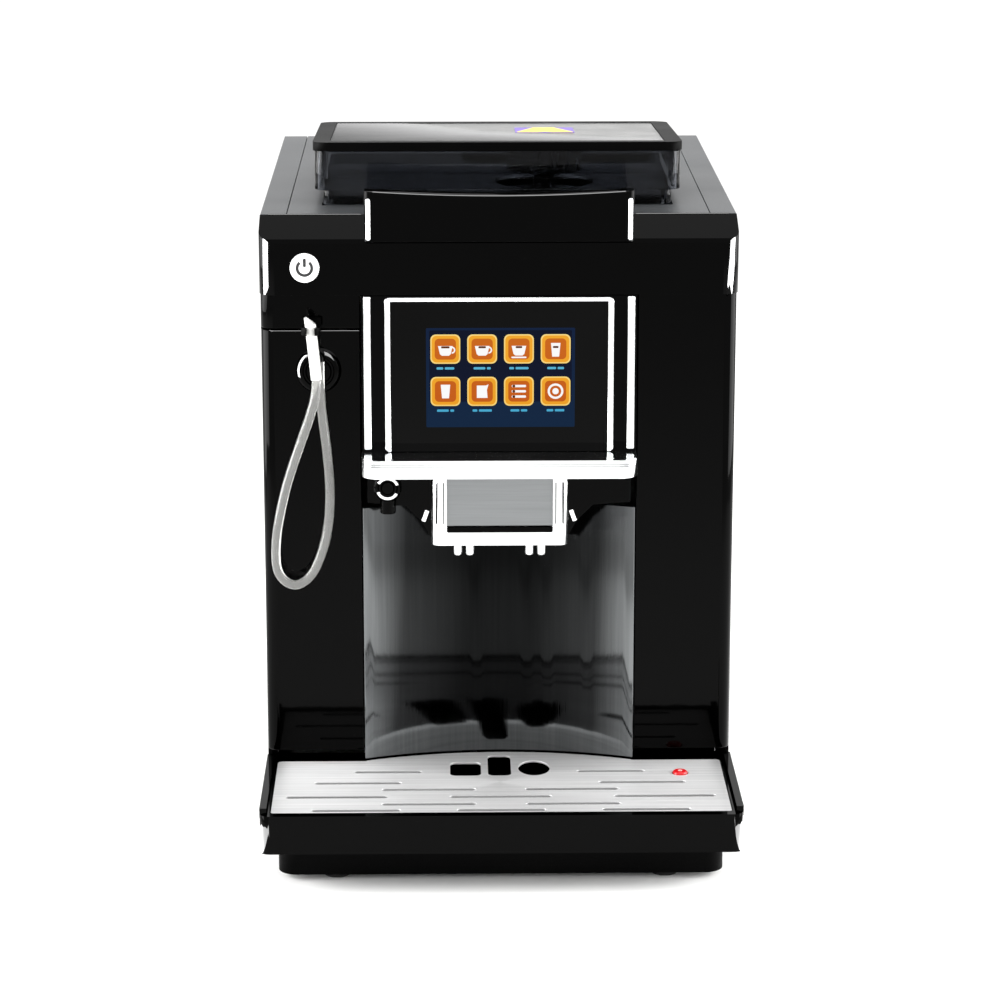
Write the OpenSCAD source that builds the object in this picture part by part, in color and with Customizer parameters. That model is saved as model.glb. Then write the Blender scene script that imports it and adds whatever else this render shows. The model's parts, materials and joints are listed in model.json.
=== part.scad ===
// Countertop bean-to-cup coffee machine.
// Frame: origin at the middle of the footprint, on the surface the feet stand on.
// +X is to the right seen from the front, the front faces -Y, +Z is up.  Millimetres.

/* [Body] */
// Overall width of the casing and of the drip tray
body_w = 302; // [300:1:304]
// Y of the front face of the upper band, in front of the origin
band_y = 140; // [139:0.5:141]
// Height of the top deck
deck_z = 409; // [408:0.5:410]
// Wall thickness of the moulded casing panels
wall = 2.5; // [2:0.1:3]

/* [Front] */
// Height of the upper band's lower edge
band_z0 = 362; // [361:0.5:363]
// How far the lower front panels stand behind the band
recess = 12; // [10:0.5:12]
// Half width of the cup niche
niche_hw = 87.6; // [87:0.1:88]
// Depth of the curve of the stainless back plate
niche_sag = 17; // [15:0.5:18]

/* [Drip tray] */
// Y of the tray's front lip, in front of the origin
tray_y = 240; // [238:0.5:240]
// Height of the grille's top face
grille_z = 51; // [50.5:0.1:51]
// Width of a grille slot
slot_w = 4; // [3:0.5:4.5]

/* [Bean hopper] */
// Half width of the hopper
hopper_hw = 117.5; // [116:0.5:118]
// Height of the lid's front top edge
lid_z = 450; // [449:0.5:450]
// Fall of the lid towards the back, degrees
lid_tilt = 3.4; // [3:0.1:3.6]

/* [Milk tube] */
// Outer diameter of the silicone milk tube
tube_d = 5.8; // [5:0.1:6]

/* [Hidden] */
$fn = 64;
EPS = 0.1;
hw = body_w / 2;
fy = -band_y;
py = fy + recess;
ty = -tray_y;
back_y = 240;
side_x = hw - wall;
band_z1 = 395;
panel_z0 = 58;
panel_z1 = band_z0 - 0.3;
seam_z = 338;
knob_x = 32;
knob_y = 4;
brew_x = -90;
port = [-114.4, 311.4];
float_at = [116.6, -156.5];
button_at = [-122, 379.6];
lid_pivot = [91.5, 434.5];
door_pivot = [-hw + 2.8, 82];
gear_n = 36;
pinion_n = 12;
gear_m = 1;
pinion_x = brew_x + gear_m * (gear_n + pinion_n) / 2;
tank_lo = [-20, 112, 230];
tank_hi = [116, 228, 409];
arc_r = (niche_hw * niche_hw + niche_sag * niche_sag) / (2 * niche_sag);
arc_y = py + niche_sag - arc_r;

// Milk tube: from the elbow under the port, down, round the loop and up to the tip.
TUBE_ROUTE = [
    [-113.5, -137, 319], [-113.5, -137, 309], [-113.2, -137, 299], [-112.6, -137, 288],
    [-111.3, -137, 276], [-109.6, -137, 261], [-108.3, -137, 245], [-108.0, -137, 229],
    [-109.2, -137.2, 213], [-111.8, -137.6, 200], [-115.6, -138.2, 189], [-119.6, -138.8, 181],
    [-125.0, -139.2, 175.5], [-131.0, -139.5, 173.4], [-137.0, -139.8, 175.9],
    [-141.2, -140, 181.8], [-142.8, -140, 190.5], [-142.2, -140, 205], [-139.6, -140, 221],
    [-135.6, -140, 238], [-130.6, -140.6, 254], [-125.0, -141.8, 270], [-119.8, -143.2, 285],
    [-116.4, -144.2, 297], [-115.2, -144.5, 309]];
TIP_END = [-119, -144.5, 347];

// ---------------------------------------------------------------- shared shapes

// A box from its lowest corner to its highest corner.
module box(lo, hi) {
    translate(lo) cube(hi - lo);
}

// Round bars along each axis: the two other coordinates, then start, end and radius.
module rod_x(y, z, x0, x1, r) {
    translate([x0, y, z]) rotate([0, 90, 0]) cylinder(h = x1 - x0, r = r);
}
module rod_y(x, z, y0, y1, r) {
    translate([x, y0, z]) rotate([-90, 0, 0]) cylinder(h = y1 - y0, r = r);
}
module rod_z(x, y, z0, z1, r) {
    translate([x, y, z0]) cylinder(h = z1 - z0, r = r);
}

// Rectangle with round corners, between two corner points.
module round_rect(lo, hi, r) {
    translate([lo[0] + r, lo[1]]) square([hi[0] - lo[0] - 2 * r, hi[1] - lo[1]]);
    translate([lo[0], lo[1] + r]) square([hi[0] - lo[0], hi[1] - lo[1] - 2 * r]);
    for (x = [lo[0] + r, hi[0] - r], y = [lo[1] + r, hi[1] - r])
        translate([x, y]) circle(r);
}

// Upright block whose vertical edges are round.
module round_box(lo, hi, r) {
    translate([0, 0, lo[2]]) linear_extrude(hi[2] - lo[2])
        round_rect([lo[0], lo[1]], [hi[0], hi[1]], r);
}

// Plate facing the front, its outline given in X and Z, with round corners.
module face_plate(lo, hi, r) {
    translate([0, hi[1], 0]) rotate([90, 0, 0]) linear_extrude(hi[1] - lo[1])
        round_rect([lo[0], lo[2]], [hi[0], hi[2]], r);
}

// A solid along X whose outline is given in Y and Z.
module along_x(x0, x1, outline) {
    translate([x0, 0, 0]) rotate([90, 0, 90]) linear_extrude(x1 - x0) polygon(outline);
}

// Long hole of the grille, centred, running along X.
module slot(x, y, len) {
    translate([x, y]) {
        square([len - slot_w, slot_w], center = true);
        for (s = [-1, 1]) translate([s * (len - slot_w) / 2, 0]) circle(slot_w / 2);
    }
}

// The children and their mirror image.
module both_sides() {
    children();
    mirror([1, 0, 0]) children();
}

// Spur gear with straight flanks, a tooth pointing along +X.
function gear_outline(n, m) = let (r = n * m / 2, p = 360 / n) [
    for (i = [0 : n - 1], k = [[-0.28, -1.2], [-0.13, 0.85], [0.13, 0.85], [0.28, -1.2]])
        let (a = (i + k[0]) * p, q = r + k[1] * m) [q * cos(a), q * sin(a)]];

// ---------------------------------------------------------------- casing

FEET = [for (x = [-104, 104], y = [-201, 214]) [x, y]];

module base_pan() {
    color("#161616") {
        difference() {
            union() {
                round_box([-141, -214, 4], [141, 236, 28], 12);
                box([-side_x, -124, 25], [side_x, 236, 28]);
            }
            round_box([-138, -211, 4 - EPS], [138, 233, 25], 9);
        }
        for (p = FEET) difference() {
            rod_z(p[0], p[1], 4, 25, 12);
            rod_z(p[0], p[1], 4 - EPS, 13, 3.2);
        }
    }
}

module feet() {
    color("#202020") for (p = FEET) {
        rod_z(p[0], p[1], 0, 4, 8.5);
        rod_z(p[0], p[1], 4, 12, 3);
    }
}

// Flat side wall; the upper part is cut back for the band.
module side_wall() {
    box([-hw, -119.8, 28], [-side_x, 236, panel_z1]);
    box([-hw, -111.7, panel_z1 - 1], [-side_x, 236, 404.7]);
    box([-side_x, 224, 40], [-side_x + 8, 236, 400]);
}

module left_side_panel() {
    color("#101010") {
        difference() {
            side_wall();
            box([-160, -62, 34], [-140, 64, 140]);
            box([-160, -71, 146], [-140, 86, 339]);
        }
        for (z = [177, 297]) difference() {
            union() {
                box([door_pivot[0] - 2.2, 82, z], [door_pivot[0] + 2.4, 90, z + 10]);
                rod_z(door_pivot[0], door_pivot[1], z, z + 10, 2.4);
                box([-hw + 0.5, 85.5, z], [-side_x + 2, 90, z + 10]);
            }
            rod_z(door_pivot[0], door_pivot[1], z - EPS, z + 10 + EPS, 1.25);
        }
        for (z = [177, 297])
            rod_z(door_pivot[0], door_pivot[1], z - 26, z + 10, 1.25);
    }
}

module right_side_panel() {
    color("#101010") difference() {
        mirror([1, 0, 0]) side_wall();
        for (i = [0 : 8])
            box([140, 120 + i * 10, 70], [160, 124 + i * 10, 130]);
    }
}

module side_rails() {
    color("#8b8d8f") both_sides() face_rail();
}

module face_rail() {
    difference() {
        box([134.2, -111.7, 405], [hw - 0.2, 237, deck_z]);
        box([136.5, -109, 404], [148, 234.5, deck_z - 2.5]);
    }
}

module top_cover() {
    color("#8b8d8f") difference() {
        box([-133.8, -111.7, deck_z - 3], [133.8, 237, deck_z]);
        box([-112.8, -77, 400], [112.8, 85, 420]);
        round_box([tank_lo[0] - 1, tank_lo[1] - 1, 400], [tank_hi[0] + 1, tank_hi[1] + 1, 420], 12.6);
    }
}

module rear_panel() {
    color("#141414") difference() {
        box([-hw, 236.2, 28], [hw, 238.6, 404.7]);
        face_plate([71, 230, 46], [125, 250, 74], 2);
        for (i = [0 : 9], s = [-1, 1])
            translate([s * 62, 237, 240 + i * 14]) cube([70, 10, 5], center = true);
        for (x = [-138, 138], z = [50, 215, 390]) rod_y(x, z, 230, 250, 1.6);
    }
}

// Filled outline of the band, shrunk by t all round.
module band_block(t) {
    intersection() {
        along_x(-hw + t, hw - t, [[fy + t, band_z0 + t], [fy + t, band_z1 - t * 0.4],
            [fy + 1.8 + t * 0.7, band_z1 + 2.4 - t], [-111.9, deck_z - 0.3 - t], [-111.9, band_z0 + t]]);
        round_box([-hw + t, fy + t, 300], [hw - t, -90, 450], 10 - t);
    }
}

module front_band() {
    color("#0e0e0e") difference() {
        band_block(0);
        intersection() {
            band_block(wall);
            box([-200, -200, 0], [200, -112.6, 500]);
        }
        box([-hw + wall, -120, band_z0 + wall], [hw - wall, -100, 402]);
        rod_y(button_at[0], button_at[1], -150, -130, 9.4);
    }
}

// Radius of the hood's sagging top edge, and where its back starts to slope to the deck.
HOOD_SAG_R = 1177;
HOOD_BACK_TOP = [-130, 428];
HOOD_BACK_FOOT = [-96, 409.1];

module hood() {
    color("#0c0c0c") difference() {
        intersection() {
            round_box([-84.5, -141.6, 396], [84.5, -84, 428], 4);
            box([-90, -142, 390], [90, -80, 428]);
        }
        translate([0, -160, 425 + HOOD_SAG_R]) rotate([-90, 0, 0])
            cylinder(h = 90, r = HOOD_SAG_R, $fn = 1800);
        along_x(-100, 100, [[fy - 0.1, 380], [fy - 0.1, band_z1 + 0.2], [fy + 1.7, band_z1 + 2.6],
            [-111.8, deck_z + 0.1], [-70, deck_z + 0.1], [-70, 380]]);
        along_x(-100, 100, [HOOD_BACK_TOP, HOOD_BACK_FOOT, [-70, HOOD_BACK_FOOT[1]],
            [-70, 440], [HOOD_BACK_TOP[0], 440]]);
        along_x(-81, 81, [[-137, 404], [-137, 421], [-130.5, 421], [-104, 409], [-111, 400]]);
    }
}

module chrome_strips() {
    color("#e4e4e4") both_sides() {
        face_plate([80.6, -142.6, 397], [83.4, -141.6, 423.5], 1.2);
        face_plate([81, -140.6, 262.5], [85.6, -138.5, 361], 0.8);
    }
}

// Front panel with a round outer corner: lower, upper or full height.
module corner_panel(z0, z1) {
    r = 8;
    translate([0, 0, z0]) linear_extrude(z1 - z0) difference() {
        union() {
            translate([-hw + r, py]) square([hw - r - 87.9, wall]);
            difference() {
                translate([-hw + r, py + r]) circle(r);
                translate([-hw + r, py]) square([2 * r, 3 * r]);
            }
            translate([-90.4, py]) square([2.5, 17]);
        }
        translate([-hw + r, py + r]) circle(r - wall);
        translate([-hw - 1, py + r - 0.1]) square([20, 20]);
    }
}

module left_front_panel() {
    color("#101010") difference() {
        corner_panel(panel_z0, seam_z - 0.5);
        rod_y(port[0], port[1], py - 5, py + 10, 9.2);
    }
}

module left_upper_panel() {
    color("#101010") corner_panel(seam_z + 0.5, panel_z1);
}

module right_front_panel() {
    color("#101010") mirror([1, 0, 0]) corner_panel(panel_z0, panel_z1);
}

// ---------------------------------------------------------------- display and niche

module display_housing() {
    color("#0d0d0d") difference() {
        box([-87, -138.5, 262], [87, -113, panel_z1]);
        box([-84.5, -136, 261], [84.5, -112, 359]);
        box([-60, -140, 270], [60, -130, 350]);
    }
    color("#0d0d0d") both_sides() box([84.5, -138.5, 245], [87, -113, 262]);
    color("#0d0d0d") difference() {
        box([-84.5, -138.5, 249.2], [84.5, -136, 262]);
        box([-32, -140, 249], [32, -130, 251]);
    }
}

module display_bezel() {
    color("#e0e0e0") difference() {
        face_plate([-72.3, -141.6, 261], [72.3, -138.5, 360.6], 3);
        box([-68.6, -150, 255], [68.6, -130, 358]);
    }
}

module display_glass() {
    color("#050505") face_plate([-68.4, -140.3, 261.2], [68.4, -138.5, 357.8], 1.5);
}

module display_panel() {
    color("#0a2c50") box([-58, -138.3, 272], [58, -131.8, 348]);
}

module control_board() {
    color("#2f6b3c") {
        box([-62, -121, 268], [62, -119.4, 352]);
        box([-40, -119.4, 290], [-12, -115, 318]);
        box([10, -119.4, 280], [46, -116, 300]);
    }
    color("#2f6b3c") difference() {
        box([button_at[0] - 14, -128, 366], [button_at[0] + 16, -126.4, 396]);
        rod_y(button_at[0] + 11, 369.5, -130, -120, 1.2);
    }
}

module chrome_visor() {
    color("#e9e9e9") difference() {
        intersection() {
            round_box([-87.3, -165, 249], [87.3, -120, 260.8], 12);
            box([-90, -170, 240], [90, -138.5, 270]);
        }
        box([-79, -159, 248], [79, -141.5, 257]);
    }
}

module spout_carrier() {
    color("#0f0f0f") difference() {
        translate([0, -120, 0]) rotate([90, 0, 0]) linear_extrude(14)
            polygon([[-84.2, 248.8], [84.2, 248.8], [84.2, 226], [60, 224], [50, 214],
                [42, 200], [-42, 200], [-50, 214], [-60, 224], [-84.2, 226]]);
        box([-31, -140, 190], [31, -122.8, 260]);
    }
}

module cup_lights() {
    color("#f4f4f4") both_sides()
        translate([47.2, -134.6, 217.5]) rotate([0, -20, 0]) cube([2.6, 1.2, 7.5], center = true);
}

module hot_water_outlet() {
    color("#1a1a1a") difference() {
        union() {
            rod_y(-70.9, 239.6, -151, -134, 8.8);
            rod_z(-70.9, -143.5, 222, 236, 5);
        }
        rod_z(-70.9, -143.5, 221, 240, 3);
    }
}

// Concave plate, its ends at the front panels, with its middle niche_sag further back.
module backsplash() {
    color("#a5a7a8") translate([0, 0, 52]) linear_extrude(221 - 52) intersection() {
        difference() {
            translate([0, arc_y]) circle(arc_r + 1.4, $fn = 180);
            translate([0, arc_y]) circle(arc_r, $fn = 180);
        }
        translate([-niche_hw + 0.2, py + 0.3]) square([2 * niche_hw - 0.4, 40]);
    }
}

// ---------------------------------------------------------------- milk tube

module milk_port() {
    color("#0b0b0b") {
        rod_y(port[0], port[1], py - 4.5, py, 14.5);
        rod_y(port[0], port[1], py, py + 12, 9);
        rod_y(-113.5, 322.4, -137, py - 4, 3.4);
        translate([-113.5, -137, 322.4]) sphere(3.4, $fn = 32);
        rod_z(-113.5, -137, 319, 322.4, 3.4);
    }
}

module tube_clip() {
    c = [-118.4, -144.5];
    color("#0b0b0b") difference() {
        union() {
            rod_z(c[0], c[1], 338, 343, 6.2);
            box([c[0] - 2, c[1] + 5, 338], [c[0] + 2, py - 1.5, 343]);
            box([c[0] - 6, py - 2, seam_z + 0.6], [c[0] + 6, py, 346]);
        }
        rod_z(c[0], c[1], 337, 344, 4.4);
        box([c[0] - 2.4, c[1] - 10, 337], [c[0] + 2.4, c[1], 344]);
    }
}

function unit(v) = v / norm(v);
// Direction of the route at its point i; at the last point it looks at the point ahead.
function ring_dir(p, i, ahead) =
    unit(i + 1 < len(p) ? p[i + 1] - p[max(i - 1, 0)] : ahead - p[i]);
function ring(p, i, r, n, ahead) = let (t = ring_dir(p, i, ahead),
    u = unit(cross([0, 1, 0], t)), v = cross(t, u))
    [for (k = [0 : n - 1]) p[i] + r * (cos(360 * k / n) * u + sin(360 * k / n) * v)];

// One closed tube with its rings on the route's own points.
module swept_tube(p, r, n, ahead) {
    m = len(p);
    rings = [for (i = [0 : m - 1]) each ring(p, i, r, n, ahead)];
    walls = [for (i = [0 : m - 2], k = [0 : n - 1]) let (j = (k + 1) % n)
        [i * n + k, (i + 1) * n + k, (i + 1) * n + j, i * n + j]];
    ends = [[for (k = [0 : n - 1]) k], [for (k = [n - 1 : -1 : 0]) (m - 1) * n + k]];
    polyhedron(rings, concat(walls, ends), convexity = 6);
}

module milk_tube() {
    color("#e8e8e4") swept_tube(TUBE_ROUTE, tube_d / 2, 10, TIP_END);
}

module suction_tip() {
    from = TUBE_ROUTE[len(TUBE_ROUTE) - 1];
    lean = atan((from[0] - TIP_END[0]) / (TIP_END[2] - from[2]));
    color("#efefec") difference() {
        translate(from) rotate([0, -lean, 0]) difference() {
            translate([0, 0, 0.02]) cylinder(h = norm(TIP_END - from) + 2, r = 3.5);
            translate([0, 0, 6]) cylinder(h = 50, r = 2.3);
        }
        translate(TIP_END) rotate([0, 36, 0]) translate([-10, -10, 0]) cube([20, 20, 10]);
    }
}

// ---------------------------------------------------------------- frame and grinder

module inner_frame() {
    color("#5d6063") {
        box([-146, 96, 28], [146, 98, 404]);
        difference() {
            box([-14, -46, 297], [80, 96, 300]);
            rod_z(knob_x, knob_y, 296, 301, 5);
        }
        box([-18, -46, 28], [-14, 96, 404]);
        difference() {
            box([-146, -66, 141.4], [-18, 96, 144.4]);
            rod_z(brew_x, 0, 130, 150, 22);
        }
        for (y = [-50, 44]) box([-140, y, 28], [-24, y + 8, 35.6]);
    }
}

// Height of the sloping joint between hopper and lid at a given y.
function joint_z(y) = lid_z - 5.6 - (y + 81) * tan(lid_tilt);

module below_lid(gap) {
    translate([0, -81, joint_z(-81) - gap]) rotate([-lid_tilt, 0, 0])
        box([-150, -20, -60], [150, 220, 0]);
}

module bean_hopper() {
    color("#2a2c2e") intersection() {
        difference() {
            union() {
                round_box([-hopper_hw, -80, 419], [hopper_hw, 88, 450], 9);
                round_box([-112, -76, 409], [112, 84, 419], 6);
                rod_z(knob_x, knob_y, 404.4, 412, 37);
                for (x = [-70, 60]) box([x, 86, 427], [x + 12, 89.4, 435.6]);
                for (x = [-70, 60]) rod_x(lid_pivot[0], lid_pivot[1], x, x + 12, 3);
            }
            round_box([-hopper_hw + 3, -77, 419], [hopper_hw - 3, 85, 460], 6);
            round_box([-109, -73, 412], [109, 81, 420], 4);
            rod_z(knob_x, knob_y, 400, 413, 33);
            for (x = [-70, 60])
                rod_x(lid_pivot[0], lid_pivot[1], x - EPS, x + 12 + EPS, 1.5);
            difference() {
                box([-130, -90, 426.4], [130, -40, 427.4]);
                box([-hopper_hw + 0.8, -79.2, 426], [hopper_hw - 0.8, 0, 428]);
            }
        }
        union() {
            below_lid(0.3);
            box([-80, 88.4, 400], [80, 100, 438]);
        }
    }
}

module lid_slab(inset, t0, t1) {
    translate([0, -81, joint_z(-81)]) rotate([-lid_tilt, 0, 0])
        round_box([-hopper_hw - 1 + inset, -0.6 + inset, t0],
            [hopper_hw + 1 - inset, 169 - inset, t1], 10 - min(inset, 8));
}

module lid_frame() {
    color("#151515") difference() {
        union() {
            lid_slab(0, 0, 5.6);
            for (x = [-57.6, 47.6]) {
                rod_x(lid_pivot[0], lid_pivot[1], x, x + 12, 3);
                box([x, 85.4, 434.4], [x + 12, lid_pivot[0] + 2, 439]);
            }
        }
        lid_slab(14, -1, 7);
        lid_slab(11, 3.2, 7);
        for (x = [-57.6, 47.6])
            rod_x(lid_pivot[0], lid_pivot[1], x - EPS, x + 12 + EPS, 1.56);
    }
}

module lid_window() {
    color("#3a3c3e") lid_slab(11.2, 3.3, 5.5);
}

module lid_pin() {
    color("#b8b8b8") for (x = [-70, 47.6])
        rod_x(lid_pivot[0], lid_pivot[1], x, x + 24.4, 1.5);
}

module grinder_body() {
    color("#303234") difference() {
        rod_z(knob_x, knob_y, 300.2, 404.2, 42);
        rod_z(knob_x, knob_y, 356, 410, 33);
        rod_z(knob_x, knob_y, 290, 410, 4.6);
        box([knob_x - 50, knob_y - 8, 340], [knob_x - 20, knob_y + 8, 357]);
    }
}

module grinder_motor() {
    color("#8f9193") difference() {
        union() {
            rod_z(knob_x, knob_y, 214, 296.8, 36);
            rod_z(knob_x, knob_y, 206, 214, 14);
        }
        rod_z(knob_x, knob_y, 270, 300, 4.6);
    }
}

module burr() {
    color("#9a9c9e") {
        rod_z(knob_x, knob_y, 357, 366, 30);
        translate([knob_x, knob_y, 366]) cylinder(h = 16, r1 = 24, r2 = 12);
        rod_z(knob_x, knob_y, 275, 357, 4.5);
        for (a = [0 : 30 : 330]) translate([knob_x, knob_y, 0]) rotate([0, 0, a])
            box([25.5, -1.2, 366], [29.5, 1.2, 369]);
    }
}

module grinder_knob() {
    color("#1c1c1c") {
        difference() {
            rod_z(knob_x, knob_y, 420, 436, 25);
            for (a = [0 : 30 : 330]) translate([knob_x, knob_y, 0]) rotate([0, 0, a])
                rod_z(27.5, 0, 419, 440, 4.5);
        }
        rod_z(knob_x, knob_y, 388, 420, 7);
        for (a = [0 : 60 : 300]) translate([knob_x, knob_y, 0]) rotate([0, 0, a])
            box([5, -1.5, 388], [31, 1.5, 396]);
        difference() {
            rod_z(knob_x, knob_y, 384, 396, 32.5);
            rod_z(knob_x, knob_y, 383, 397, 29);
        }
    }
}

// ---------------------------------------------------------------- brewing and water

module brew_frame() {
    color("#3b3d40") difference() {
        union() {
            box([-142, -56, 145], [-36, 60, 152]);
            box([-142, -56, 318], [-36, 60, 325]);
            box([-41, -56, 152], [-36, 60, 318]);
            rod_z(brew_x, 0, 196, 264, 27);
            box([brew_x, -20, 200], [-38, 20, 260]);
        }
        rod_z(brew_x, 0, 190, 270, 22);
        rod_z(brew_x, 0, 140, 160, 23);
        rod_z(brew_x, 0, 310, 330, 5);
    }
}

module brew_piston() {
    color("#c8c8c4") difference() {
        union() {
            rod_z(brew_x, 0, 240, 256, 21.94);
            rod_z(brew_x, 0, 256, 300, 8);
            rod_z(brew_x, 0, 300, 308, 13);
        }
        rod_z(brew_x, 0, 262, 310, 4.05);
    }
}

module brew_gear() {
    color("#e6e2d6") {
        translate([brew_x, 0, 328]) linear_extrude(7) polygon(gear_outline(gear_n, gear_m));
        rod_z(brew_x, 0, 325.4, 328, 8);
        rod_z(brew_x, 0, 266, 328, 4);
    }
}

module motor_pinion() {
    color("#b08d3f") translate([pinion_x, 0, 0]) {
        translate([0, 0, 327.5]) rotate([0, 0, 180 / pinion_n])
            linear_extrude(8) polygon(gear_outline(pinion_n, gear_m));
        rod_z(0, 0, 335.5, 353, 2);
    }
}

module gear_motor() {
    color("#8f9193") difference() {
        union() {
            rod_z(pinion_x, 0, 340, 352, 15);
            rod_z(pinion_x, 0, 352, 388, 13);
            box([pinion_x + 8, -10, 340], [-18.2, 10, 346]);
        }
        rod_z(pinion_x, 0, 339, 354, 2.05);
    }
}

module boiler() {
    color("#b4b6b8") {
        rod_z(-90, 168, 64, 190, 36);
        rod_z(-90, 168, 28, 64, 10);
        rod_z(-90, 168, 190, 200, 6);
        box([-94, 98.2, 90], [-86, 134, 100]);
    }
}

module pump() {
    color("#c2a14d") {
        rod_x(165, 80, 10, 84, 24);
        rod_x(165, 80, 84, 104, 9);
        rod_x(165, 80, 0, 10, 6);
        box([30, 150, 28], [64, 180, 58]);
    }
}

module flow_meter() {
    color("#dedede") {
        rod_z(56, 206, 150, 172, 15);
        rod_x(206, 161, 71, 82, 3.5);
        rod_x(206, 161, 30, 41, 3.5);
    }
}

// A hose that follows straight runs, with a round elbow, a little thicker, at each corner.
module hose(points, r) {
    for (i = [0 : len(points) - 2]) {
        a = points[i];
        b = points[i + 1];
        d = b - a;
        translate(a) rotate([0, acos(d[2] / norm(d)), atan2(d[1], d[0])])
            cylinder(h = norm(d), r = r, $fn = 24);
        if (i > 0) translate(a) sphere(r + 0.6, $fn = 24);
    }
}

module hoses() {
    color("#d8d8d2") {
        hose([[48, 170, 216], [48, 170, 190], [20, 206, 190], [20, 206, 161], [29.8, 206, 161]], 3);
        hose([[82.2, 206, 161], [112, 206, 161], [112, 165, 161], [112, 165, 80],
            [104.2, 165, 80]], 3);
        hose([[-0.2, 165, 80], [-30, 165, 80], [-30, 165, 215], [-90, 168, 215],
            [-90, 168, 200.2]], 3);
    }
}

module tank_seat() {
    color("#2c2e30") difference() {
        union() {
            box([-20, 98.2, 222], [116, 232, 227]);
            rod_z(48, 170, 216.2, 222, 8);
            rod_z(48, 170, 222, 229.6, 14);
        }
        rod_z(48, 170, 223, 235, 9);
        rod_z(48, 170, 215, 235, 4);
    }
}

module water_tank() {
    color("#7f8b93") {
        difference() {
            round_box(tank_lo, tank_hi, 12);
            round_box(tank_lo + [2.5, 2.5, 3], tank_hi + [-2.5, -2.5, 10], 9.5);
            rod_z(48, 170, 220, 240, 4);
        }
        difference() {
            rod_z(48, 170, 224, 231, 8.2);
            rod_z(48, 170, 223, 234, 4);
        }
        both_ends_of_tank() box([38, 0, 402], [58, 6, 409]);
        for (x = [12, 78]) difference() {
            union() {
                box([x, tank_hi[1] - 2, 404], [x + 6, tank_hi[1], 410]);
                box([x, tank_hi[1] - 2, 409.4], [x + 6, tank_hi[1] + 3.4, 414.6]);
            }
            rod_x(tank_hi[1] + 1, 412, x - 1, x + 7, 1.56);
        }
    }
}

// Small ledges inside the tank's front and back walls, by which it is pulled up.
module both_ends_of_tank() {
    translate([0, tank_lo[1] + 2, 0]) children();
    translate([0, tank_hi[1] - 8, 0]) children();
}

module tank_lid() {
    color("#151515") {
        difference() {
            round_box([tank_lo[0] - 0.4, tank_lo[1] - 0.4, 409.3],
                [tank_hi[0] + 0.4, tank_hi[1] + 0.4, 413], 12);
            for (x = [10, 76]) box([x, tank_hi[1] - 4.5, 405], [x + 10, tank_hi[1] + 3, 420]);
        }
        rod_x(tank_hi[1] + 1, 412, 20.4, 75.6, 2.4);
        rod_x(tank_hi[1] + 1, 412, 13, 83, 1.5);
        round_box([38, 112, 413], [58, 122, 415], 3);
    }
}

module mains_inlet() {
    color("#0d0d0d") difference() {
        union() {
            face_plate([66, 238.6, 42], [130, 240, 78], 3);
            face_plate([71.2, 214, 46.2], [124.8, 238.6, 73.8], 2);
        }
        face_plate([75, 222, 50], [100, 245, 70], 4);
        box([107, 226, 50], [121, 245, 70]);
        rod_x(235.6, 60, 104, 124, 1.55);
    }
    color("#c9a94e") for (p = [[80.5, 57], [94.5, 57], [87.5, 63]])
        box([p[0] - 1.8, 221.8, p[1] - 1], [p[0] + 1.8, 235, p[1] + 1]);
}

ROCKER_TILT = 8;

module rocker_switch() {
    color("#c22a22") translate([0, 235.6, 60]) rotate([ROCKER_TILT, 0, 0]) {
        along_x(107.4, 120.6, [[-4, -8], [2.6, -9], [3.4, 0], [2.6, 9], [-4, 8]]);
        rod_x(0, 0, 104.6, 123.4, 1.5);
    }
}

module panel_screws() {
    color("#9ea0a2") {
        for (x = [-138, 138], z = [50, 215, 390]) {
            rod_y(x, z, 238.6, 240, 3);
            rod_y(x, z, 231, 238.6, 1.5);
        }
        for (x = [-125, 125], y = [-100, 60]) {
            rod_z(x, y, 20, 24.9, 2.8);
        }
    }
}

// ---------------------------------------------------------------- moving pieces

module power_button() {
    color("#f0f0f0") {
        rod_y(button_at[0], button_at[1], fy - 1.2, -130, 9.2);
        rod_y(button_at[0], button_at[1], -130, -129.6, 3);
    }
}

module spout_shell() {
    color("#dcdcdc") {
        difference() {
            round_box([-43.3, -162, 205], [43.3, -135, 248.4], 6);
            face_plate([-33.6, -165, 214.5], [33.6, -159, 260], 1);
            round_box([-38, -156.5, 209], [38, -139, 260], 4);
            for (x = [-26.5, -18.9, 18.9, 26.5]) rod_z(x, -150, 200, 210, 2.6);
        }
    }
    color("#dcdcdc") {
        box([-29.5, -135.2, 205], [29.5, -123.6, 248]);
        box([-29.5, -128.8, 247], [29.5, -123.6, 318]);
    }
}

module spout_face() {
    color("#9fa3a4") box([-33.3, -161.2, 217.6], [33.3, -159, 248.2]);
}

module spout_nozzles() {
    color("#f2f2f2") for (x = [-26.5, -18.9, 18.9, 26.5]) difference() {
        rod_z(x, -150, 196, 212, 2.6);
        rod_z(x, -150, 195, 213, 1.5);
    }
}

module drip_tray() {
    color("#121212") difference() {
        union() {
            round_box([-hw, ty, 30], [hw, -170, 52], 6);
            box([-hw, -180, 30], [hw, -129, 52]);
            both_sides() box([146.6, -236, 50], [hw, -129, 56]);
            box([-145.6, -130, 30], [145.6, -100, 47]);
            difference() {
                round_box([-hw, ty, 27], [hw, -170, 31], 6);
                box([-hw + 2.4, ty + 2.4, 26], [hw - 2.4, -160, 30]);
            }
        }
        round_box([-144.6, -233.6, grille_z - 1.5], [144.6, -80, 70], 3);
        round_box([-141, -230.5, 32.4], [141, -103, 70], 4);
    }
    color("#121212") for (x = [-60, 60]) box([x - 1.2, -215, 32], [x + 1.2, -118, grille_z - 1.5]);
}

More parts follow.
